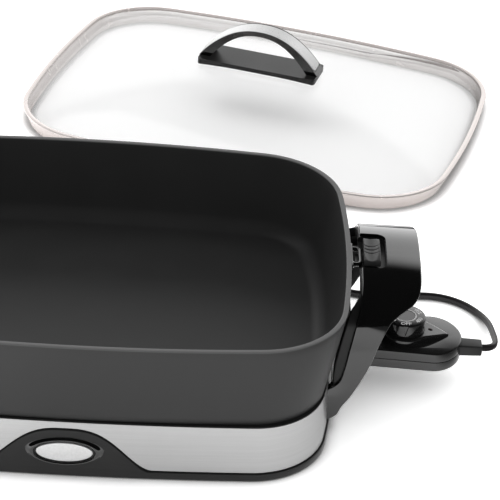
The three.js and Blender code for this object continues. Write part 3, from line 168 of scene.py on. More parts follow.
class Finish(Nodes):
    """One material and the nodes that vary over its surface."""

    def __init__(self, name, colour, roughness, metallic=0, **constants):
        self.material = bpy.data.materials.new(name)
        self.material.use_nodes = True
        super().__init__(self.material.node_tree)
        self.shader = self.tree.nodes["Principled BSDF"]
        self.set("Base Color", (*colour, 1))
        self.set("Roughness", roughness)
        self.set("Metallic", metallic)
        for key, value in constants.items():
            self.set(key.replace("_", " ").title().replace("Ior", "IOR"), value)

    def set(self, name, value):
        self.feed(self.shader.inputs[name], value)

    def position(self):
        """Object coordinates, in metres."""
        return self.node("ShaderNodeTexCoord", "Object")

    def place(self, x=1, y=1, z=1):
        """Object coordinates, stretched along each axis."""
        return self.node("ShaderNodeMapping",
                         sockets={"Vector": self.position(), "Scale": (x, y, z)})

    def noise(self, scale, detail=2, vector=None, roughness=0.5):
        return self.node("ShaderNodeTexNoise", "Fac", sockets={
            "Vector": vector or self.place(), "Scale": scale, "Detail": detail,
            "Roughness": roughness})

    def blend(self, share, first, second):
        """A colour between first and second."""
        ends = [end if isinstance(end, Field) else (*end, 1) for end in (first, second)]
        return self.node("ShaderNodeMix", 2, {"data_type": "RGBA"},
                         {0: share, 6: ends[0], 7: ends[1]})

    def bump(self, height, distance, strength=1):
        self.set("Normal", self.node("ShaderNodeBump", "Normal", sockets={
            "Height": height, "Distance": distance, "Strength": strength}))


def grey(value):
    return (value, value, value)


def coated_pan():
    """Dark coating, paler on the narrow land along the rim's top."""
    finish = Finish("pan_coating", grey(0.014), 0.46)
    cloud = finish.noise(28, 3)
    speck = finish.noise(2600, 2)
    land_low, land_high = 0.1155, 0.1168
    land = finish.split(finish.position(), "Z").ramp(land_low, land_high)
    coating = finish.blend(cloud, grey(0.017), grey(0.022))
    finish.set("Base Color", finish.blend(land, coating, grey(0.1)))
    finish.set("Roughness", 0.38 + 0.1 * cloud + 0.08 * speck)
    finish.bump(speck, 0.00006, 0.5)
    return finish.material


def gloss_black(name="gloss_black", colour=0.002, roughness=0.08, coat=1):
    """Polished moulding with faint smudges."""
    finish = Finish(name, grey(colour), roughness, coat_weight=coat, coat_roughness=0.05)
    smudge = finish.noise(34, 4)
    finish.set("Roughness", roughness + 0.05 * smudge)
    finish.bump(finish.noise(160, 2), 0.00001, 0.2)
    return finish.material


def satin(name, colour, roughness, grain=1500, depth=0.00008, specular=0.5):
    """Moulding with a fine, clouded grain."""
    finish = Finish(name, grey(colour), roughness, specular_ior_level=specular)
    cloud = finish.noise(40, 3)
    pores = finish.noise(grain, 2)
    finish.set("Base Color", finish.blend(cloud, grey(colour * 0.85), grey(colour * 1.15)))
    finish.set("Roughness", roughness - 0.06 + 0.12 * cloud)
    finish.bump(pores, depth, 0.6)
    return finish.material


def brushed_steel():
    """Sheet brushed in level lines round the base."""
    finish = Finish("brushed_steel", grey(0.62), 0.3, 1)
    lines = finish.noise(1, 3, finish.place(14, 14, 2600), 0.7)
    broad = finish.noise(1, 2, finish.place(3, 3, 240))
    finish.set("Base Color", finish.blend(lines * 0.7 + broad * 0.3, grey(0.4), grey(0.6)))
    finish.set("Roughness", 0.24 + 0.16 * lines)
    finish.bump(lines, 0.00003, 0.5)
    return finish.material


def strap_steel():
    """Strip brushed across the lid's handle."""
    finish = Finish("strap_steel", grey(0.55), 0.26, 0.75)
    lines = finish.noise(1, 3, finish.place(2400, 700, 30), 0.7)
    finish.set("Base Color", finish.blend(lines, grey(0.5), grey(0.68)))
    finish.set("Roughness", 0.22 + 0.14 * lines)
    finish.bump(lines, 0.00002, 0.4)
    return finish.material


def bright_steel(name="bright_steel", colour=(0.7, 0.7, 0.7), roughness=0.16, metallic=1):
    """Smooth metal with a light haze."""
    finish = Finish(name, colour, roughness, metallic)
    haze = finish.noise(90, 3)
    finish.set("Roughness", roughness + 0.08 * haze)
    finish.set("Base Color", finish.blend(haze, tuple(c * 0.93 for c in colour), colour))
    return finish.material


def clear_glass():
    """Clear sheet that mirrors more as it is seen at a flatter angle."""
    finish = Finish("clear_glass", grey(1), 0.02)
    clear = finish.node("ShaderNodeBsdfTransparent", sockets={"Color": (0.87, 0.87, 0.87, 1)})
    shine = finish.node("ShaderNodeBsdfGlossy", sockets={"Roughness": 0.03})
    facing = finish.node("ShaderNodeLayerWeight", "Facing", sockets={"Blend": 0.5})
    mirror = (0.04 + 0.96 * facing ** 5) * (0.9 + 0.1 * finish.noise(9, 2))
    mixed = finish.node("ShaderNodeMixShader", sockets={0: mirror.clamped(), 1: clear, 2: shine})
    finish.feed(finish.tree.nodes["Material Output"].inputs["Surface"], mixed)
    finish.tree.nodes.remove(finish.shader)
    return finish.material


def rubber(name, colour, roughness):
    """Skin of the cord, the plug and the feet."""
    finish = Finish(name, colour, roughness, specular_ior_level=0.45)
    cloud = finish.noise(60, 3)
    finish.set("Roughness", roughness - 0.05 + 0.1 * cloud)
    finish.bump(finish.noise(900, 2), 0.00005, 0.4)
    return finish.material


def printed_white():
    finish = Finish("printed_white", grey(0.8), 0.5)
    finish.set("Base Color", finish.blend(finish.noise(800, 2), grey(0.72), grey(0.86)))
    return finish.material


def silver_plate():
    finish = Finish("silver_plate", grey(0.75), 0.32, 1)
    mottle = finish.noise(520, 3)
    finish.set("Base Color", finish.blend(mottle, grey(0.66), grey(0.86)))
    finish.set("Roughness", 0.3 + 0.15 * mottle)
    finish.bump(mottle, 0.00008, 0.5)
    return finish.material


def white_floor():
    """White floor with painted shade close under things, and a painted reflection that shiny parts
    see bright on the left and dark to the right.
    """
    finish = Finish("floor", grey(0.82), 0.6, specular_ior_level=0)
    plain = finish.blend(finish.noise(3, 2), grey(0.815), grey(0.825))
    side = finish.split(finish.position(), "X")
    # Painted reflection: shiny parts do not see the floor's own colour, but 1.7 far left, 1.3
    # towards the middle and a dark 0.12 to the right.
    near = finish.blend(side.ramp(-0.2, -0.05), grey(1.7), grey(1.3))
    mirrored = finish.blend(side.ramp(0.24, 0.32), near, grey(0.12))
    seen_in_things = (finish.ray("Glossy") + finish.ray("Transmission")).clamped()
    # Painted shade: for camera rays an ambient-occlusion mask darkens the floor's colour towards
    # 0.45 within 13 mm of things.
    clear_of_painted_shade = finish.node("ShaderNodeAmbientOcclusion", "AO", {"samples": 12},
                              {"Distance": 0.013})
    white_with_painted_shade = finish.blend(clear_of_painted_shade.ramp(0.3, 1), grey(0.45), grey(1.75))
    plain_or_painted_reflection = finish.blend(seen_in_things, plain, mirrored)
    finish.set("Base Color", finish.blend(finish.ray("Camera"), plain_or_painted_reflection, white_with_painted_shade))
    return finish.material


PAN = coated_pan()
GLOSS = gloss_black()
CONTROL = gloss_black("control_black", 0.008, 0.1, 1)
SATIN = satin("satin_black", 0.012, 0.34)
BASE = satin("base_black", 0.01, 0.3, specular=0.35)
GREY = satin("dark_grey", 0.022, 0.42, 1100, 0.00012)
BAND = brushed_steel()
STRAP = strap_steel()
STEEL = bright_steel()
WARM = bright_steel("warm_steel", (0.84, 0.775, 0.75), 0.22, 0.6)
DARK_STEEL = bright_steel("blackened_steel", (0.05, 0.05, 0.05), 0.3)
GLASS = clear_glass()
CORD = rubber("cord_jacket", (0.012, 0.010, 0.011), 0.36)
FOOT = rubber("foot_rubber", (0.02, 0.02, 0.02), 0.7)
PRINT = printed_white()
PLATE = silver_plate()
LENS = bright_steel("tinted_lens", (0.02, 0.008, 0.006), 0.08)
CERAMIC = satin("moulded_insulator", 0.4, 0.5)
ELEMENT = bright_steel("element_sheath", (0.16, 0.15, 0.14), 0.36)


# Mesh builders

def put(name, points, faces, material, body=None, slot=None, replaces=(), sharp=35, place=at):
    """A mesh piece from points in millimetres."""
    mesh = bpy.data.meshes.new(name)
    mesh.from_pydata([place(*point) for point in points], [], faces)
    mesh.validate()
    mesh.update()
    mesh.materials.append(material)
    piece = bpy.data.objects.new(name, mesh)
    bpy.context.scene.collection.objects.link(piece)
    outward(mesh)
    smooth(mesh, sharp)
    if body:
        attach(piece, body)
    if replaces:
        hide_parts(*replaces)
    return piece


def outward(mesh):
    """Turns all faces out of a closed mesh."""
    volume = 0
    for face in mesh.polygons:
        corners = [mesh.vertices[i].co for i in face.vertices]
        for b, c in zip(corners[1:], corners[2:]):
            volume += corners[0].dot(b.cross(c))
    if volume < 0:
        mesh.flip_normals()


def smooth(mesh, sharp):
    mesh.polygons.foreach_set("use_smooth", [True] * len(mesh.polygons))
    mesh.set_sharp_from_angle(angle=math.radians(sharp))


def loft(rings, closed=False, caps=True):
    """Points and faces of a skin over rings of equal length."""
    count = len(rings[0])
    points = [point for ring in rings for point in ring]
    faces = []
    for r in range(len(rings) if closed else len(rings) - 1):
        here, there = r * count, (r + 1) % len(rings) * count
        for i in range(count):
            n = (i + 1) % count
            faces.append((here + i, here + n, there + n, there + i))
    if caps and not closed:
        faces.append(tuple(reversed(range(count))))
        faces.append(tuple(range((len(rings) - 1) * count, len(rings) * count)))
    return points, faces


def carve(piece, cutters, operation="DIFFERENCE", sharp=35):
    """Cuts pieces out of a mesh, or joins them to it, and keeps only the result."""
    for cutter in cutters:
        step = piece.modifiers.new("carve", "BOOLEAN")
        step.object = cutter
        step.operation = operation
        step.solver = "EXACT"
    graph = bpy.context.evaluated_depsgraph_get()
    mesh = bpy.data.meshes.new_from_object(piece.evaluated_get(graph))
    piece.modifiers.clear()
    piece.data = mesh
    for cutter in cutters:
        bpy.data.objects.remove(cutter)
    smooth(mesh, sharp)


def soften(piece, width, segments=3, angle=35):
    """Rounds the edges of a piece."""
    step = piece.modifiers.new("soften", "BEVEL")
    step.width = width * MM
    step.segments = segments
    step.limit_method = "ANGLE"
    step.angle_limit = math.radians(angle)
    step.harden_normals = True
    return piece


def prism(name, shape, axis, start, end, material=None, **options):
    """A solid whose section, drawn in the two other axes in X, Y, Z order, runs along an axis."""
    def point(a, b, c):
        return {"x": (c, a, b), "y": (a, c, b), "z": (a, b, c)}[axis]
    rings = [[point(a, b, c) for a, b in shape] for c in (start, end)]
    return put(name, *loft(rings), material or SATIN, **options)


def cuboid(name, x0, x1, y0, y1, z0, z1, **options):
    return prism(name, [(x0, y0), (x1, y0), (x1, y1), (x0, y1)], "z", z0, z1, **options)


def rounded(x0, x1, y0, y1, radius, steps=6):
    points = []
    for cx, cy, start in ((x1, y1, 0), (x0, y1, 90), (x0, y0, 180), (x1, y0, 270)):
        for i in range(steps + 1):
            angle = math.radians(start + 90 * i / steps)
            sx = radius if cx == x0 else -radius
            sy = radius if cy == y0 else -radius
            points.append((cx + sx + radius * math.cos(angle), cy + sy + radius * math.sin(angle)))
    return points


def circle(x, y, radius, steps=48):
    return [(x + radius * math.cos(2 * math.pi * i / steps),
             y + radius * math.sin(2 * math.pi * i / steps)) for i in range(steps)]


def mix(a, b, share):
    return a + (b - a) * share


def quarter(steps, first=1):
    """Sines and cosines at even steps of a quarter turn."""
    angles = [math.pi / 2 * k / steps for k in range(first, steps + 1)]
    return [(math.sin(angle), math.cos(angle)) for angle in angles]


def smooth_curve(knots):
    """A function through (input, output) knots without overshoot."""
    knots = sorted(knots)
    slopes = []
    for i in range(len(knots)):
        before, here, after = knots[max(i - 1, 0)], knots[i], knots[min(i + 1, len(knots) - 1)]
        left = (here[1] - before[1]) / (here[0] - before[0]) if i else None
        right = (after[1] - here[1]) / (after[0] - here[0]) if i < len(knots) - 1 else None
        if left is None or right is None:
            slopes.append(right if left is None else left)
        else:
            slopes.append(0 if left * right <= 0 else 2 * left * right / (left + right))

    def curve(value):
        value = min(max(value, knots[0][0]), knots[-1][0])
        for i in range(len(knots) - 1):
            (x0, y0), (x1, y1) = knots[i], knots[i + 1]
            if value <= x1:
                h = x1 - x0
                t = (value - x0) / h
                ends = mix(y0, y1, (3 - 2 * t) * t ** 2)
                return ends + h * t * (t - 1) * (slopes[i] * (t - 1) + slopes[i + 1] * t)
        return knots[-1][1]
    return curve


# Plan outlines

RIM = {"length": 212.5, "width": 159, "side": 1380, "end": 850, "corner": 72.5}
FOOT_PLAN = {"length": 206, "width": 157.5, "side": 2160, "end": 650, "corner": 62}
WAIST = {"length": 201, "width": 152.7, "side": 1720, "end": 683, "corner": 59}
LID = {key: value + 3 for key, value in RIM.items()}
RIM_HEIGHT = 117
WAIST_HEIGHT = 48.7
FOOT_TOP, BAND_TOP = 6.6, 47.2
BAND_LOW_INSET, BAND_HIGH_INSET = 1.5, 3.4


def outline(size, inset, z, corner_steps=20, side_steps=14, end_steps=12):
    """A rectangle in plan with bowed sides, bowed ends and round corners."""
    length, width, side, end, corner = (
        size[key] - inset for key in ("length", "width", "side", "end", "corner"))
    side_centre, end_centre = width - side, length - end
    side_reach, end_reach = side - corner, end - corner
    apart = math.hypot(end_centre, side_centre)
    along = (side_reach ** 2 - end_reach ** 2 + apart ** 2) / (2 * apart)
    across = math.sqrt(side_reach ** 2 - along ** 2)
    ux, uy = end_centre / apart, -side_centre / apart
    cx, cy = along * ux + across * uy, side_centre + along * uy - across * ux
    end_angle = math.atan2(cy, cx - end_centre)
    side_angle = math.atan2(cy - side_centre, cx)
    first = []
    for x, y, radius, start, stop, steps in (
            (end_centre, 0, end, 0, end_angle, end_steps),
            (cx, cy, corner, end_angle, side_angle, corner_steps),
            (0, side_centre, side, side_angle, math.pi / 2, side_steps)):
        for i in range(steps):
            angle = start + (stop - start) * i / steps
            first.append((x + radius * math.cos(angle), y + radius * math.sin(angle)))
    half = first + [(0, width)] + [(-x, y) for x, y in first[:0:-1]]
    return [(x, y, z) for x, y in half] + [(-x, -y, z) for x, y in half]


def wall_size(z):
    """Plan of the pan's outer wall at a height."""
    share = (z - WAIST_HEIGHT) / (RIM_HEIGHT - WAIST_HEIGHT)
    return {key: mix(WAIST[key], RIM[key], share) for key in RIM}


def band_inset(z):
    """How far the band leans in from the foot at a height."""
    return mix(BAND_LOW_INSET, BAND_HIGH_INSET, (z - FOOT_TOP) / (BAND_TOP - FOOT_TOP))


# Cord and plug

CORD_WIDTH = 6
CORD_LIFT = 3.1
COIL_X, COIL_Y, COIL_START_X = 96, 214, 125
COIL_OUTER, COIL_INNER, COIL_CLIMB, COIL_STEPS = 37, 29, 6.6, 24
CORD_ROUTE = [
    (325.6, 0, 32), (329.4, 0.4, 31.9), (333.4, 3.2, 31.2), (336.4, 8.6, 29.7), (338, 15.6, 27.6),
    (338.8, 24, 25), (339.2, 34, 21.6), (339.6, 46, 17.4), (339.9, 58, 13.2), (339.8, 69, 9.6),
    (338.7, 79.6, 6.6), (336, 89.6, 4.5), (331.2, 98.8, 3.4)]
CORD_ROUTE += [(x, y, CORD_LIFT) for x, y in (
    (324.6, 106.8), (316.2, 113.2), (306, 118), (295, 120.2), (283, 120), (270, 118.6),
    (256, 117.4), (242, 117), (228, 118), (216, 122), (206, 129.4), (198.6, 139.6), (191.6, 151),
    (182.6, 161.6), (171, 170), (157, 175.6), (141, 177.6), (COIL_START_X, COIL_Y - COIL_OUTER))]


def coil_route():
    """A turn that winds inward, half a turn that climbs, and a turn back out on top."""
    points = []
    lift = COIL_STEPS // 2
    for i in range(2 * COIL_STEPS + lift + 1):
        angle = -math.pi / 2 - 2 * math.pi * i / COIL_STEPS
        inward = min(i / COIL_STEPS, 1)
        outward_share = max((i - COIL_STEPS - lift) / COIL_STEPS, 0)
        radius = mix(COIL_OUTER, COIL_INNER, inward - outward_share)
        z = CORD_LIFT + COIL_CLIMB * min(max((i - COIL_STEPS) / lift, 0), 1)
        points.append((COIL_X + radius * math.cos(angle), COIL_Y + radius * math.sin(angle), z))
    last, before = Vector(points[-1]), Vector(points[-2])
    heading = last - before
    heading.z = 0
    heading.normalize()
    lead = ((COIL_START_X + points[0][0]) / 2, points[0][1], CORD_LIFT)
    tail = [tuple(last + heading * CORD_WIDTH * turns) for turns in (2, 3)]
    return [lead, *points, *tail], heading


def spaced(points, step):
    """Points at even steps along a smooth curve through the given ones."""
    dense, parts = [], 12
    for i in range(len(points) - 1):
        p0, p1, p2, p3 = (Vector(points[min(max(j, 0), len(points) - 1)])
                          for j in (i - 1, i, i + 1, i + 2))
        for k in range(parts):
            t = k / parts
            dense.append(0.5 * (2 * p1 + (p2 - p0) * t + (2 * p0 - 5 * p1 + 4 * p2 - p3) * t ** 2
                                + (3 * p1 - p0 - 3 * p2 + p3) * t ** 3))
    dense.append(Vector(points[-1]))
    result, travelled = [dense[0]], 0
    for a, b in zip(dense, dense[1:]):
        travelled += (b - a).length
        if travelled >= step:
            result.append(b)
            travelled = 0
    if (result[-1] - dense[-1]).length < step / 2:
        result.pop()
    result.append(dense[-1])
    return result


def twin_section(width=2.15, apart=0.85, steps=9):
    """Two wires side by side in one jacket, as offsets across and up."""
    waist = math.acos(apart / width)
    section = []
    for turn in (0, math.pi):
        for i in range(steps):
            angle = turn + mix(waist - math.pi / 2, 1.5 * math.pi - waist, i / (steps - 1))
            section.append((width * math.cos(angle),
                            width * math.sin(angle) + math.copysign(apart, math.pi / 2 - turn)))
    return section


def make_cord():
    """Flat twin cord from the control along the floor into its coil."""
    coil, heading = coil_route()
    route = spaced([*CORD_ROUTE, *coil], 3)
    section = twin_section()
    rings = []
    for i, place in enumerate(route):
        along = route[min(i + 1, len(route) - 1)] - route[max(i - 1, 0)]
        across = Vector((-along.y, along.x, 0)).normalized()
        up = along.cross(across).normalized()
        rings.append([tuple(place + across * a + up * b) for a, b in section])
    cord = put("cord", *loft(rings), CORD, "control", "cord_black", ("cord_run", "cord_coil"), 60)
    return cord, route, heading


def make_plug(end, heading):
    """Moulded plug that tapers to the cord, its blades kept from the CAD."""
    length, half_width, half_height, squareness = 34, 12.4, 8.7, 0.6
    side = Vector((-heading.y, heading.x, 0))
    base = end + heading * GAP
    base.z = 17.5 / 2 + GAP / 3
    rings = []
    size = smooth_curve([(0, 0.3), (0.12, 0.42), (0.35, 0.62), (0.55, 0.9), (0.9, 1), (1, 0.96)])
    for k in range(25):
        share = k / 24
        width, height = half_width * size(share), half_height * mix(0.42, 1, size(share))
        ring = []
        for i in range(40):
            angle = 2 * math.pi * (i + 0.5) / 40
            across, up = (math.copysign(abs(part) ** squareness, part)
                          for part in (math.cos(angle), math.sin(angle)))
            place = base + heading * length * share + side * width * across
            ring.append((place.x, place.y, place.z + height * up))
        rings.append(ring)
    plug = put("plug", *loft(rings), CORD, "control", "cord_black", ("plug_body",))
    return soften(plug, 0.5)


cord, cord_route, cord_heading = make_cord()
plug = make_plug(cord_route[-1], cord_heading)


# Pan

def make_pan():
    """Pan with a rounded rim and a floor that curves up into its walls."""
    wall, rim_round, floor_height, floor_round, steps = 4.2, 0.8, 45.5, 12, 10
    rim_low, floor_high = RIM_HEIGHT - rim_round, floor_height + floor_round
    seat = [(16.5, 40.5), (12, 41.5), (10.8, 42.6), (10.5, 43.6), (10.5, WAIST_HEIGHT)]
    rings = [outline(FOOT_PLAN, inset, z) for inset, z in seat]
    rings.append(outline(WAIST, 0.4, WAIST_HEIGHT))
    levels = [(0.12, 48.8)] + [(0, mix(49.1, rim_low, i / steps)) for i in range(steps + 1)]
    levels += [(rim_round * (1 - c), rim_low + rim_round * s) for s, c in quarter(4)]
    levels += [(wall - rim_round * (1 - c), rim_low + rim_round * s)
               for s, c in reversed(quarter(4, 0))]
    levels += [(wall, mix(rim_low, floor_high, i / steps)) for i in range(1, steps + 1)]
    levels += [(wall + floor_round * (1 - c), floor_high - floor_round * s)
               for s, c in quarter(steps)]
    rings += [outline(wall_size(max(z, WAIST_HEIGHT)), inset, z) for inset, z in levels]
    pan = put("pan", *loft(rings), PAN, "pan", "cast_coating", ("pan_body",), 40)
    boss = cuboid("boss", 140, 180, -7, 7, 28.7, 41.2, material=PAN)
    carve(pan, [boss], "UNION", 40)


make_pan()


# Base

HUMP_HALF, HUMP_RISE, HUMP_FULLNESS = 67.4, 34.9, 1.47


def hump_top(x, grow=0):
    """Height of the hump's bell-shaped top at x."""
    turn = math.pi * min(abs(x) / (HUMP_HALF + grow), 1) ** HUMP_FULLNESS
    return FOOT_TOP + grow + HUMP_RISE * 0.5 * (1 + math.cos(turn))


def hump_cutter():
    half = HUMP_HALF + GAP
    shape = [(-half, 0), (half, 0)]
    shape += [(half * (1 - i / 40), hump_top(half * (1 - i / 40), GAP)) for i in range(81)]
    return prism("hump_cutter", shape, "y", -163, -130)


def base_cutters():
    """Pockets for the four arms and a port for the control."""
    pieces = []
    for sx in (1, -1):
        for sy in (1, -1):
            x0, x1 = sorted((sx * 181, sx * 212))
            y0, y1 = sorted((sy * 63.3, sy * 81))
            pieces.append(cuboid("pocket", x0, x1, y0, y1, 6.5, 37.7))
    return [*pieces, cuboid("port", 170, 212, -31, 31, 20, 55)]


def make_band():
    """Steel band, cut out for the hump, the arms and the control."""
    thickness, bottom, top, bend = 0.8, FOOT_TOP + GAP, BAND_TOP, 0.25
    levels = [(bend, bottom)]
    levels += [(0, mix(bottom + bend, top - bend, i / 6)) for i in range(7)]
    levels += [(bend, top), (thickness, top), (thickness, bottom)]
    rings = [outline(FOOT_PLAN, band_inset(z) + inward, z) for inward, z in levels]
    band = put("band", *loft(rings, closed=True), BAND, "base", "brushed_band", ("steel_band",))
    carve(band, [hump_cutter(), *base_cutters()])


def make_frame():
    """Ring behind the band, with its foot below and the lip that carries the pan."""
    low_wall, high_wall = BAND_LOW_INSET + 1.4, BAND_HIGH_INSET + 1.4
    profile = [
        (0.4, 0.6), (0.12, 0.72), (0, 1), (0, 5.6), (0.2, 6.2), (0.6, 6.5), (1.2, 6.6),
        (low_wall, 6.6), (high_wall, 47.5), (4.1, 47.5), (3.6, 47.65), (3.4, 48), (3.6, 48.3),
        (4.1, 48.4), (9.5, 48.4), (9.5, 46), (high_wall + 3, 46), (low_wall + 3, 4.6), (22, 4.6),
        (22, 0.6),
    ]
    rings = [outline(FOOT_PLAN, inset, z) for inset, z in profile]
    base = put("base_ring", *loft(rings, closed=True), BASE, "base", "satin_black",
               ("base_frame",), 30)
    carve(base, base_cutters(), sharp=30)


def foot_y(x, inset):
    """Y of the front of the foot outline at x, moved inward by an inset."""
    bow = FOOT_PLAN["side"]
    return -(FOOT_PLAN["width"] - bow + math.sqrt((bow - inset) ** 2 - x * x))


def hump_inset(z):
    share = min(max((z - 5) / 7, 0), 1)
    return mix(-0.05, band_inset(z) - 0.9, share * share * (3 - 2 * share))


def make_hump():
    """Front shield of the base, proud of the band, with a rounded edge."""
    columns, edge = 96, 1.8
    sections = []
    for i in range(columns + 1):
        x = mix(-HUMP_HALF, HUMP_HALF, i / columns)
        top = hump_top(x)
        bottom = 1
        ring = []
        for k in range(15):
            z = mix(bottom, top - edge if top > bottom + 2 * edge else top, k / 14)
            ring.append((x, foot_y(x, hump_inset(z)), z))
        for s, c in quarter(5):
            z = top - edge + edge * s
            ring.append((x, foot_y(x, hump_inset(z) + edge * (1 - c)), z))
        ring.append((x, foot_y(x, band_inset(top) + 2.6), top))
        ring.append((x, foot_y(x, band_inset(bottom) + 2.6), bottom))
        sections.append(ring)
    put("hump", *loft(sections), BASE, "base", "satin_black", sharp=50)


BADGE_Z = 21.7
HUMP_FACE = -(FOOT_PLAN["width"] - band_inset(BADGE_Z) + 0.9)


def oval(a, b, y):
    """Ring of the badge, its half length and half height at a y."""
    return [(a * c, y, BADGE_Z + b * s) for c, s in circle(0, 0, 1, 96)]


def make_badge():
    """Collar that swells towards a bare oval plate and turns down sharply beside it."""
    ring = []
    for k in range(17):
        share = k / 16
        ring.append((mix(30, 24.6, share), mix(12.6, 11, share),
                     HUMP_FACE + 0.3 - 2.1 * math.sin(math.pi / 2 * share) ** 2))
    for s, c in quarter(8):
        ring.append((24.6 - 1.3 * s, 11 - 1.3 * s, HUMP_FACE - 1.8 + 1.3 * (1 - c)))
    ring += [(22.8, 9.6, HUMP_FACE + 0.6), (21.9, 9.2, HUMP_FACE + 1.2),
             (21.9, 9.1, HUMP_FACE + 3.2), (30, 12.6, HUMP_FACE + 3.2)]
    put("bezel", *loft([oval(*place) for place in ring], closed=True), GLOSS, "base",
        "gloss_black", ("badge_bezel",), 50)
    rings = [oval(21.6, 9, HUMP_FACE + 3.2), oval(21.6, 9, HUMP_FACE + 0.1)]
    for s, c in quarter(8):
        shrink = 1.4 * (1 - c)
        rings.append(oval(21.6 - shrink, 9 - shrink, HUMP_FACE + 0.1 - 1.3 * s))
    for share in (0.75, 0.4, 0.1):
        rings.append(oval(20.2 * share, 7.6 * share, HUMP_FACE - 1.2 - 0.3 * (1 - share ** 2)))
    put("badge", *loft(rings), PLATE, "base", "silver_plate", ("badge_plate",), 50)


make_band()
make_frame()
make_hump()
make_badge()


# Handles

ARCH_HALF, ARCH_SHOULDER, ARCH_TOP, ARCH_SPLAY = 72, 70, 118.6, 8
PIVOT_Z, LOBE = 20.5, 12


def arch_path(steps=40):
    """Outer face of the arch from the front arm's foot over the top to the rear one's."""
    low_z = PIVOT_Z - LOBE
    half = [(ARCH_HALF + ARCH_SPLAY * (1 - (z - low_z) / (ARCH_SHOULDER - low_z)), z)
            for z in [mix(low_z, ARCH_SHOULDER, i / 22) for i in range(22)]]
    for i in range(steps + 1):
        angle = math.pi / 2 * i / steps
        half.append((ARCH_HALF * max(math.cos(angle), 0) ** (2 / 3),
                     ARCH_SHOULDER + (ARCH_TOP - ARCH_SHOULDER) * math.sin(angle) ** (2 / 3)))
    half[-1] = (0, ARCH_TOP)
    return [(-y, z) for y, z in half[:-1]] + [(y, z) for y, z in reversed(half)]


def resample(path, step):
    """Points at even steps along a path."""
    total = [0]
    for a, b in zip(path, path[1:]):
        total.append(total[-1] + math.dist(a, b))
    count = round(total[-1] / step)
    result, j = [], 0
    for i in range(count + 1):
        wanted = total[-1] * i / count
        while j < len(total) - 2 and total[j + 1] < wanted:
            j += 1
        share = (wanted - total[j]) / (total[j + 1] - total[j])
        result.append(tuple(mix(a, b, share) for a, b in zip(path[j], path[j + 1])))
    return result


def matched(path, count):
    """Points at even shares of a path's length."""
    fine = 400
    length = sum(math.dist(a, b) for a, b in zip(path, path[1:]))
    points = resample(path, length / fine)
    return [points[round(fine * (i / (count - 1)))] for i in range(count)]


def normals(path):
    """Directions square to a path, in its plane."""
    result = []
    for i in range(len(path)):
        a, b = path[max(i - 1, 0)], path[min(i + 1, len(path) - 1)]
        dy, dz = b[0] - a[0], b[1] - a[1]
        length = math.hypot(dy, dz)
        result.append((dz / length, -dy / length))
    return result


# Reach of the handle from the skillet's middle, outward and inward, at each height
OUTER_X = smooth_curve([
    (8.5, 194.5), (8.9, 197), (10.1, 201), (13.6, 206.7), (20.5, 210), (30.3, 216.65),
    (58.3, 229.95), (81.3, 237.1), (94.1, 242.8), (100.1, 248.8), (104.1, 254.8), (107.5, 260.1),
    (112.2, 264.3), (115.6, 265.9), (118.6, 266.5)])
INNER_X = smooth_curve([
    (8.5, 193.5), (9.5, 189), (13, 184.6), (20.5, 182), (29, 185.6), (34, 195), (38.6, 202.9),
    (43.6, 207.2), (54.8, 210), (69.6, 212.4), (89.2, 215.5), (108.8, 219), (118.6, 219.8)])
# How far the liner stays short of the inward reach, or passes it where negative
LINER_SHORT = smooth_curve([
    (8.5, 2.2), (34, 2.2), (38.6, -1.2), (43.6, -5.5), (48, -6.9), (58, -8.2), (70, -7.9),
    (90, -7.4), (102, -6.6), (107, -4), (113, -1), (118.6, -1)])


def handle_band(name, side, near, far, inset, short, rounding, material, slot, replaced):
    """One skin of the handle between two depths from its outer face, set in from both edges."""
    path = resample(arch_path(), 1.6)
    outwards = normals(path)
    rings = []
    for (y, z), (ny, nz) in zip(path, outwards):
        x0, x1 = INNER_X(z) + short(z), OUTER_X(z) - inset
        if x1 - x0 < 1:
            x0, x1 = (x0 + x1) / 2 - 0.5, (x0 + x1) / 2 + 0.5
        r = min(rounding, (x1 - x0) * 0.4, (far - near) * 0.45)
        ring = []
        for x, depth, sx, sd, turned in ((x0, near, 1, 1, 0), (x1, near, -1, 1, 1),
                                         (x1, far, -1, -1, 0), (x0, far, 1, -1, 1)):
            turns = quarter(4, 0)
            for s, c in turns if turned else reversed(turns):
                d = depth + sd * r * (1 - c)
                ring.append((side * (x + sx * r * (1 - s)), side * (y + ny * d), z + nz * d))
        rings.append(ring)
    body = f"{side_name(side)}_handle"
    return put(name, *loft(rings), material, body, slot, (replaced,), 50)


def side_name(side):
    return "right" if side > 0 else "left"


def mirrored(side, shape):
    return [(side * x, side * y) for x, y in shape]


def make_handle(side):
    """Arched grip and its liner, notched in the middle for the latch."""
    which = side_name(side)
    shell = handle_band(f"{which}_shell", side, 0, 3, 0, lambda z: 0, 1.1, GLOSS, "gloss_black",
                        f"{which}_handle_shell")
    liner = handle_band(f"{which}_liner", side, 3.3, 10.8, 2.2, LINER_SHORT, 1.5, BASE,
                        "satin_black", f"{which}_handle_liner")
    notch_floor, room_floor, over = 110.2, 108.6, 125
    notch = mirrored(side, rounded(201.5, 240, -26, 26, 8))
    carve(shell, [prism("notch", notch, "z", notch_floor, over)], sharp=50)
    inner = mirrored(side, rounded(201.5, 239.7, -25.7, 25.7, 7.7))
    slot_shape = mirrored(side, [(213.5, -8.3), (224.3, -8.3), (224.3, 8.3), (213.5, 8.3)])
    room = mirrored(side, [(213.5, -14.5), (222.4, -14.5), (222.4, 14.5), (213.5, 14.5)])
    carve(liner, [
        prism("notch", inner, "z", notch_floor, over),
        prism("slot", slot_shape, "z", 75, over),
        prism("room", room, "z", room_floor, over),
    ], sharp=50)


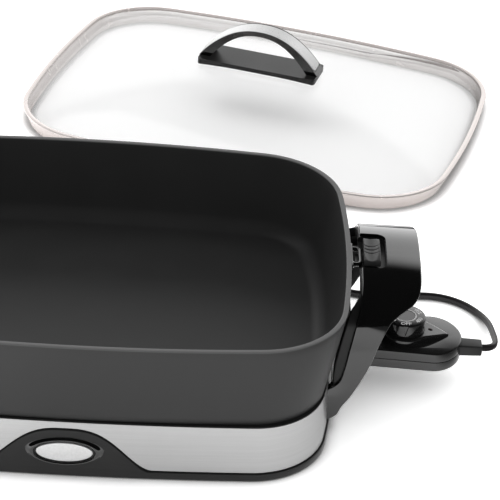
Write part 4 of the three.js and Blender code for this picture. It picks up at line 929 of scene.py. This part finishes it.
def make_button(side):
    """Latch button scooped along its length, with three grooves across and a crowned lip."""
    which = side_name(side)
    rings = []
    steps, half_length, crown, scoop, scoop_x, scoop_z = 72, 17.3, 120.4, 9, 227.6, 127.2
    for i in range(steps + 1):
        share = 2 * i / steps - 1
        y = half_length * share
        top = crown - 1.6 * share ** 2 - 1.2 * (max(abs(share) - 0.94, 0) / 0.06) ** 2
        groove = 0.5 if any(abs(y - place) < 0.5 for place in (-4.94, 0, 4.94)) else 0
        ring = [(222, 114.2), (235, 114.2), (235, top - 0.5), (234.8, top - 0.15), (234.3, top)]
        for k in range(13):
            x = mix(233.5, 222.3, k / 12)
            hollow = scoop_z - math.sqrt((scoop + groove) ** 2 - (x - scoop_x) ** 2)
            ring.append((x, min(top, hollow)))
        ring.append((222, ring[-1][1] - 0.3))
        rings.append([(side * x, side * y, z) for x, z in ring])
    put(f"{which}_button", *loft(rings), GREY, f"{which}_latch", "matte_grey",
        (f"{which}_latch_button",), 50)


def make_bracket(side):
    """Bail of round rod, held to the pan's end by a plate, that the latch hooks under."""
    which = side_name(side)
    wall_x, z, radius, reach, half, turn = 208.9, 111.4, 1.8, 219.6, 11.7, 3.6
    path = [(wall_x, -half), (reach - turn, -half)]
    for start, cy in ((-90, turn - half), (0, half - turn)):
        for i in range(9):
            angle = math.radians(start + 90 * i / 8)
            path.append((reach - turn + turn * math.cos(angle), cy + turn * math.sin(angle)))
    path.append((wall_x, half))
    rings = []
    for (x, y), (nx, ny) in zip(path, normals(path)):
        rings.append([(side * (x + nx * a), side * (y + ny * a), z + b)
                      for a, b in circle(0, 0, radius, 20)])
    plate = prism("plate", rounded(-19, 19, 100.2, 113.2, 2.5), "x", side * wall_x, side * 213.6)
    bail = put(f"{which}_bail", *loft(rings), GLOSS, "pan", "gloss_black", (f"{which}_bracket",))
    carve(bail, [plate], "UNION")


for side in (1, -1):
    make_handle(side)
    make_button(side)
    make_bracket(side)


# Temperature control

def bent(corners, steps):
    """Points of a curve drawn by its corners, without the last one."""
    points = []
    for i in range(steps):
        row = corners
        while len(row) > 1:
            row = [tuple(mix(a, b, i / steps) for a, b in zip(p, q)) for p, q in zip(row, row[1:])]
        points += row
    return points


def case_shape(inset=0):
    """Plan of the control's case, straight towards the pan and round at the cord."""
    end, half, neck, shoulder = 308 - inset, 28.3 - inset, 22 - inset, 25.5 - inset
    edge = [(206 + inset, neck), (221, shoulder - 0.5), (236, shoulder)]
    bottom = [(x, -y) for x, y in edge]
    nose = bent([(284, -half), (297.2, -half * 0.98), (end, -half * 0.5), (end, 0)], 14)
    nose += bent([(end, 0), (end, half * 0.5), (297.2, half * 0.98), (284, half)], 14)
    return bottom + nose + [(284, half)] + edge[::-1]


def make_case(name, z0, z1, low_round, high_round, replaced):
    """Half of the control's case, rounded along its lower and upper edges."""
    levels = [(low_round * (1 - s), z0 + low_round * (1 - c)) for s, c in quarter(5, 0)]
    levels += [(high_round * (1 - c), z1 - high_round * (1 - s)) for s, c in quarter(5, 0)]
    rings = [[(x, y, z) for x, y in case_shape(inset)] for inset, z in levels]
    return put(name, *loft(rings), CONTROL, "control", "gloss_black", (replaced,))


DIAL_X, DIAL_RADIUS, DIAL_TOP = 260.6, 16.6, 59.2
PRINT_TOP, NUMBER_RING = 59.24, 12.6
HULL_TOP, HULL_BREAK, HULL_APEX, HULL_DROP = 47.4, 277.2, 297, 3.6


def hull_shape(inset=0):
    """Plan of the dial's platform, a circle drawn out to a point."""
    tangent = math.acos(20 / (HULL_APEX - DIAL_X)) * 0.72
    radius = 20 - inset
    x, y = DIAL_X + radius * math.cos(tangent), radius * math.sin(tangent)
    apex = HULL_APEX - inset * 1.6
    points = []
    for start, end, sign in (((x, -y), (apex, 0), -1), ((apex, 0), (x, y), 1)):
        points += bent([start, ((x + apex) / 2, sign * y * 0.62), end], 10)
    for i in range(40):
        angle = tangent + (2 * math.pi - 2 * tangent) * i / 40
        points.append((DIAL_X + radius * math.cos(angle), radius * math.sin(angle)))
    return points


def hull_surface(x):
    """Height of the platform's top, which falls towards its point."""
    return HULL_TOP - HULL_DROP * (max(x - HULL_BREAK, 0) / (HULL_APEX - HULL_BREAK)) ** 1.3


def make_hull():
    """Boat-shaped platform that falls to a point, with a small rounding along its top edge."""
    rings = []
    edge = [(0, 6.4), (0, 1.1), (0.15, 0.55), (0.5, 0.15), (1.1, 0)]
    for inset, drop in edge + [(inset, 0) for inset in range(2, 19)]:
        rings.append([(x, y, hull_surface(x) - drop) for x, y in hull_shape(inset)])
    return put("hull", *loft(rings), CONTROL)


def relief_room():
    return cuboid("room", 303.7, 315, -7.1, 7.1, 26.9, 37.1)


def make_control():
    upper = make_case("control_top", 33.6, 42, 0.3, 1.5, "control_upper_shell")
    carve(upper, [make_hull()], "UNION")
    well = prism("well", circle(DIAL_X, 0, 17.2, 96), "z", 46, 60)
    pilot = prism("pilot", circle(282, 0, 1.9), "z", 42.8, 60)
    carve(upper, [well, pilot, relief_room()])
    lower = make_case("control_bottom", 24.6, 33.3, 1.5, 0.3, "control_lower_shell")
    carve(lower, [relief_room()])


def make_dial():
    """Knob with a bevelled rim, a pointer groove, a printed ring and numbers."""
    edge, face = 1.3, 58.95
    side_top = DIAL_TOP - edge
    profile = [(4, 38.3), (4, 46.3), (15.8, 46.3), (16.5, 46.8), (DIAL_RADIUS, 47.6),
               (DIAL_RADIUS, side_top)]
    profile += [(DIAL_RADIUS - edge * (1 - c), side_top + edge * s) for s, c in quarter(5)]
    profile += [(8.2, DIAL_TOP), (8, face), (0.01, face)]
    dial = put("dial", *loft(round_dial(profile)), CONTROL, "dial", "gloss_black",
               ("temperature_dial",))
    groove = [(DIAL_X - 2.2, 58.6), (DIAL_X, 49.5), (DIAL_X + 2.2, 58.6)]
    carve(dial, [prism("groove", groove, "y", -18, -15)])
    ring = round_dial([(8.3, face), (9.2, face), (9.2, PRINT_TOP), (8.3, PRINT_TOP)])
    put("dial_ring", *loft(ring, closed=True), PRINT, "dial")
    for i, number in enumerate(("OFF", "200", "250", "300", "350", "400")):
        print_number(number, math.radians(-90 - i * 60))


def round_dial(profile):
    """Circles about the dial's axis, from radii and heights."""
    return [[(x, y, z) for x, y in circle(DIAL_X, 0, radius, 96)] for radius, z in profile]


def print_number(number, angle):
    data = bpy.data.curves.new("number", "FONT")
    data.body = number
    data.size = 4.9 * MM
    data.align_x = "CENTER"
    data.align_y = "CENTER"
    data.extrude = 0.04 * MM
    data.offset = 0.12 * MM
    data.materials.append(PRINT)
    text = bpy.data.objects.new("number", data)
    bpy.context.scene.collection.objects.link(text)
    place = at(DIAL_X + NUMBER_RING * math.cos(angle), NUMBER_RING * math.sin(angle), PRINT_TOP)
    text.matrix_world = Matrix.Translation(place) @ Matrix.Rotation(angle + math.pi / 2, 4, "Z")
    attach(text, "dial")


def make_relief():
    """Tapered rectangular boot, seated in the case's end."""
    rings = []
    for x, inset in ((304, 0.6), (304.4, 0.1), (308, 0), (316, 0.15), (324, 0.4), (324.7, 0.6),
                     (325, 1.1)):
        shape = rounded(-6.8 + inset, 6.8 - inset, 27.2 + inset, 36.8 - inset, 1.5, 5)
        rings.append([(x, y, z) for y, z in shape])
    put("boot", *loft(rings), GREY, "control", "matte_grey", ("strain_relief",), 50)


make_control()
make_dial()
make_relief()

cord_length = sum((b - a).length for a, b in zip(cord_route, cord_route[1:]))
at(*CORD_ROUTE[0])
[at(*point) for point in cord_route]


# Lid

LID_PLACE = (142.5, 454.8)
LID_YAW = math.radians(-16.7)
LID_HEIGHT, LID_LAND, LID_SHEET = 15.6, 4.8, 1
GLASS_RISE, GLASS_FULLNESS, GLASS_THICK = 34, 2.3, 4
LID_EDGE = LID_HEIGHT - LID_SHEET - GAP


def on_lid(x, y, z):
    """A point in the lid's own directions, put where the lid lies."""
    c, s = math.cos(LID_YAW), math.sin(LID_YAW)
    return at(LID_PLACE[0] + x * c - y * s, LID_PLACE[1] + x * s + y * c, z)


def lid_piece(name, points, faces, material, slot, replaced, sharp=35):
    return put(name, points, faces, material, "lid", slot, replaced, sharp, on_lid)


def make_lid_rim():
    profile = [(7.0, 0.05), (6.5, 0.05), (6.25, 0.35), (6.2, 1.2)]
    for share in (0.25, 0.5, 0.75, 1):
        profile.append((mix(6.2, 0.9, share), mix(1.2, 13.9, share)))
    for k in range(7):
        angle = math.pi * k / 6
        profile.append((0.9 - 0.9 * math.sin(angle) * 0.9, 14.75 - 0.85 * math.cos(angle)))
    profile += [(4.5, 15.6), (4.8, 15.45), (4.8, 14.8), (4.5, 14.6), (2, 14.6), (1.9, 13.9)]
    profile += [(7.2, 1.4), (7.3, 0.3)]
    rings = [lid_outline(inset, z) for inset, z in profile]
    lid_piece("lid_ring", *loft(rings, closed=True), WARM, "warm_steel", ("lid_rim",), 40)


def lid_outline(inset, z):
    return outline(LID, inset, z, 28, 18, 16)


def dome_height(share):
    return LID_EDGE + GLASS_RISE * (1 - share ** GLASS_FULLNESS)


def dome_ring(share, drop):
    """Ring of the glass at a share of its reach, sunk by a drop."""
    return [(x * share, y * share, dome_height(share) - drop)
            for x, y, _ in lid_outline(LID_LAND + GAP, 0)]


def make_glass():
    shares = [0.02] + [i / 30 for i in range(1, 31)]
    upper = [dome_ring(share, 0) for share in shares]
    lower = [dome_ring(share, GLASS_THICK) for share in reversed(shares[:-1])]
    rim = [lid_outline(inset, LID_EDGE - drop) for inset, drop in (
        (4.4, 0), (4.2, 0.6), (4.2, 2), (5.2, 3.4), (6.8, 4))]
    lid_piece("glass", *loft(upper + rim + lower), GLASS, "clear_glass", ("lid_glass",), 40)


BASE_TOP = dome_height(0.1) + GAP + 4
ARCH_RISE, ARCH_DEPTH, ARCH_FULLNESS, POST = 34, 3.2, 2.2, 6.5


def arch_line(low_z, high_z, half, steps=48):
    """Line over the lid handle, from heights over its foot and half its length."""
    points = []
    for i in range(steps + 1):
        share = 2 * i / steps - 1
        z = mix(high_z, low_z, abs(share) ** ARCH_FULLNESS)
        points.append((half * share, BASE_TOP + z))
    return points


def make_lid_handle():
    """Foot cut to the glass, with an arch that has a bed for the strap."""
    plan = rounded(-59.5, 59.5, -18.6, 18.6, 3.4)
    base = prism("handle_foot", plan, "z", BASE_TOP - 8, BASE_TOP, body="lid",
                 slot="satin_black", replaces=("lid_handle_base",), place=on_lid)
    shares = [i / 20 for i in range(1, 21)]
    room = [dome_ring(1, 8)] + [dome_ring(share, -GAP) for share in reversed(shares)]
    carve(base, [put("room", *loft(room), SATIN, place=on_lid)])
    soften(base, 0.8)
    arch = prism("handle_arch", arch_line(GAP, ARCH_RISE + 1.5, 60.2), "y", -10.5, 10.5, GLOSS,
                 body="lid", slot="gloss_black", replaces=("lid_handle_arch",), place=on_lid)
    above = resample(arch_line(GAP, ARCH_RISE + 8, 67), 1)
    under = matched(arch_line(GAP, ARCH_RISE, 59.5), len(above))
    mouth = arch_line(GAP - 6, ARCH_RISE - ARCH_DEPTH, 59.5 - POST)
    bed = above[5:-5] + under[5:-5][::-1]
    carve(arch, [prism("mouth", mouth, "y", -17, 17, GLOSS, place=on_lid),
                 prism("bed", bed, "y", -9.4, 9.4, GLOSS, place=on_lid)])
    soften(arch, 0.25)
    make_strap()


def make_strap():
    """Steel strip over the arch, with round corners, that stops short of the arch's ends."""
    outer = resample(arch_line(GAP, ARCH_RISE + GAP + 1, 60.8), 1)
    inner = matched(arch_line(GAP, ARCH_RISE + GAP, 59.8), len(outer))
    stop, corner, half = 6, 3.5, 9.1
    rings = []
    for i in range(stop, len(outer) - stop):
        left = min(i, len(outer) - 1 - i) - stop
        width = half - corner + math.sqrt(corner ** 2 - max(corner - 0.2 - left, 0) ** 2)
        (x0, z0), (x1, z1) = outer[i], inner[i]
        x2, z2 = mix(x0, x1, 0.3), mix(z0, z1, 0.3)
        rings.append([(x0, -width + 0.3, z0), (x0, width - 0.3, z0), (x2, width, z2),
                      (x1, width, z1), (x1, -width, z1), (x2, -width, z2)])
    lid_piece("handle_strap", *loft(rings), STRAP, "brushed_band", ("lid_handle_strap",), 25)


make_lid_rim()
make_glass()
make_lid_handle()


# Carried-over nodes

def both(*names):
    return [f"{side}_{name}" for side in ("right", "left") for name in names]


CARRIED = {
    STEEL: [*both("latch_spring", "bracket_screw", "handle_screw_1", "handle_screw_2",
                  "hinge_pin_1", "hinge_pin_2"),
            "control_screw_1", "control_screw_2", "lid_screw_1", "lid_screw_2", "sensor_rod",
            "socket_guard"],
    DARK_STEEL: both("latch_tongue"),
    PLATE: ["terminal_pin_1", "terminal_pin_2", "plug_blade_1", "plug_blade_2"],
    GREY: both("cross_panel"),
    FOOT: [f"rubber_foot_{number}" for number in (1, 2, 3, 4)],
    ELEMENT: ["heating_element"],
    CERAMIC: ["contact_block"],
    LENS: ["pilot_lens"],
}
SOFTENED = {0.6: both("cross_panel"), 0.4: [*both("latch_tongue"), "contact_block"]}

for material, names in CARRIED.items():
    for name in names:
        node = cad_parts[name]
        for slot in node.material_slots:
            slot.link = "OBJECT"
            slot.material = material
for width, names in SOFTENED.items():
    for name in names:
        soften(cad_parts[name], width, 2)


# Floor and light

def make_floor():
    mesh = bpy.data.meshes.new("floor")
    size = 9
    mesh.from_pydata([(-size, -size, 0), (size, -size, 0), (size, size, 0), (-size, size, 0)],
                     [], [(0, 1, 2, 3)])
    mesh.materials.append(white_floor())
    floor = bpy.data.objects.new("floor", mesh)
    floor.location.z = -0.0002
    bpy.context.scene.collection.objects.link(floor)


def make_world():
    """Plain light from all round, with a bright backdrop and a dark room in reflections."""
    world = bpy.data.worlds.new("studio")
    world.use_nodes = True
    nodes = Nodes(world.node_tree)
    direction = nodes.node("ShaderNodeTexCoord", "Generated")
    right, behind, height = (nodes.split(direction, axis) for axis in "XYZ")
    backdrop = behind.ramp(-0.1, 0.3) * (1 - height.ramp(0.5, 0.66)) * (1 - right.ramp(0.5, 0.98))
    glossy = backdrop * (1.25 + 0.35 * (1 - height.ramp(0.25, 0.5))) + 0.01
    in_gloss, in_view = nodes.ray("Glossy"), nodes.ray("Camera")
    ambient = glossy * in_gloss + 1 - in_gloss
    background = nodes.tree.nodes["Background"]
    nodes.feed(background.inputs["Color"], (1, 1, 1, 1))
    nodes.feed(background.inputs["Strength"], in_view + ambient * (1 - in_view))
    bpy.context.scene.world = world


def make_lamp():
    data = bpy.data.lights.new("overhead", "AREA")
    data.shape = "RECTANGLE"
    data.size, data.size_y = 1.4, 1.2
    data.energy = 6
    lamp = bpy.data.objects.new("overhead", data)
    lamp.location = at(-900, 900, 1900)
    lamp.rotation_euler = (at(0, 0, 0) - lamp.location).to_track_quat("-Z", "Y").to_euler()
    bpy.context.scene.collection.objects.link(lamp)


make_floor()
make_world()
make_lamp()
bpy.context.scene.view_settings.view_transform = "Standard"
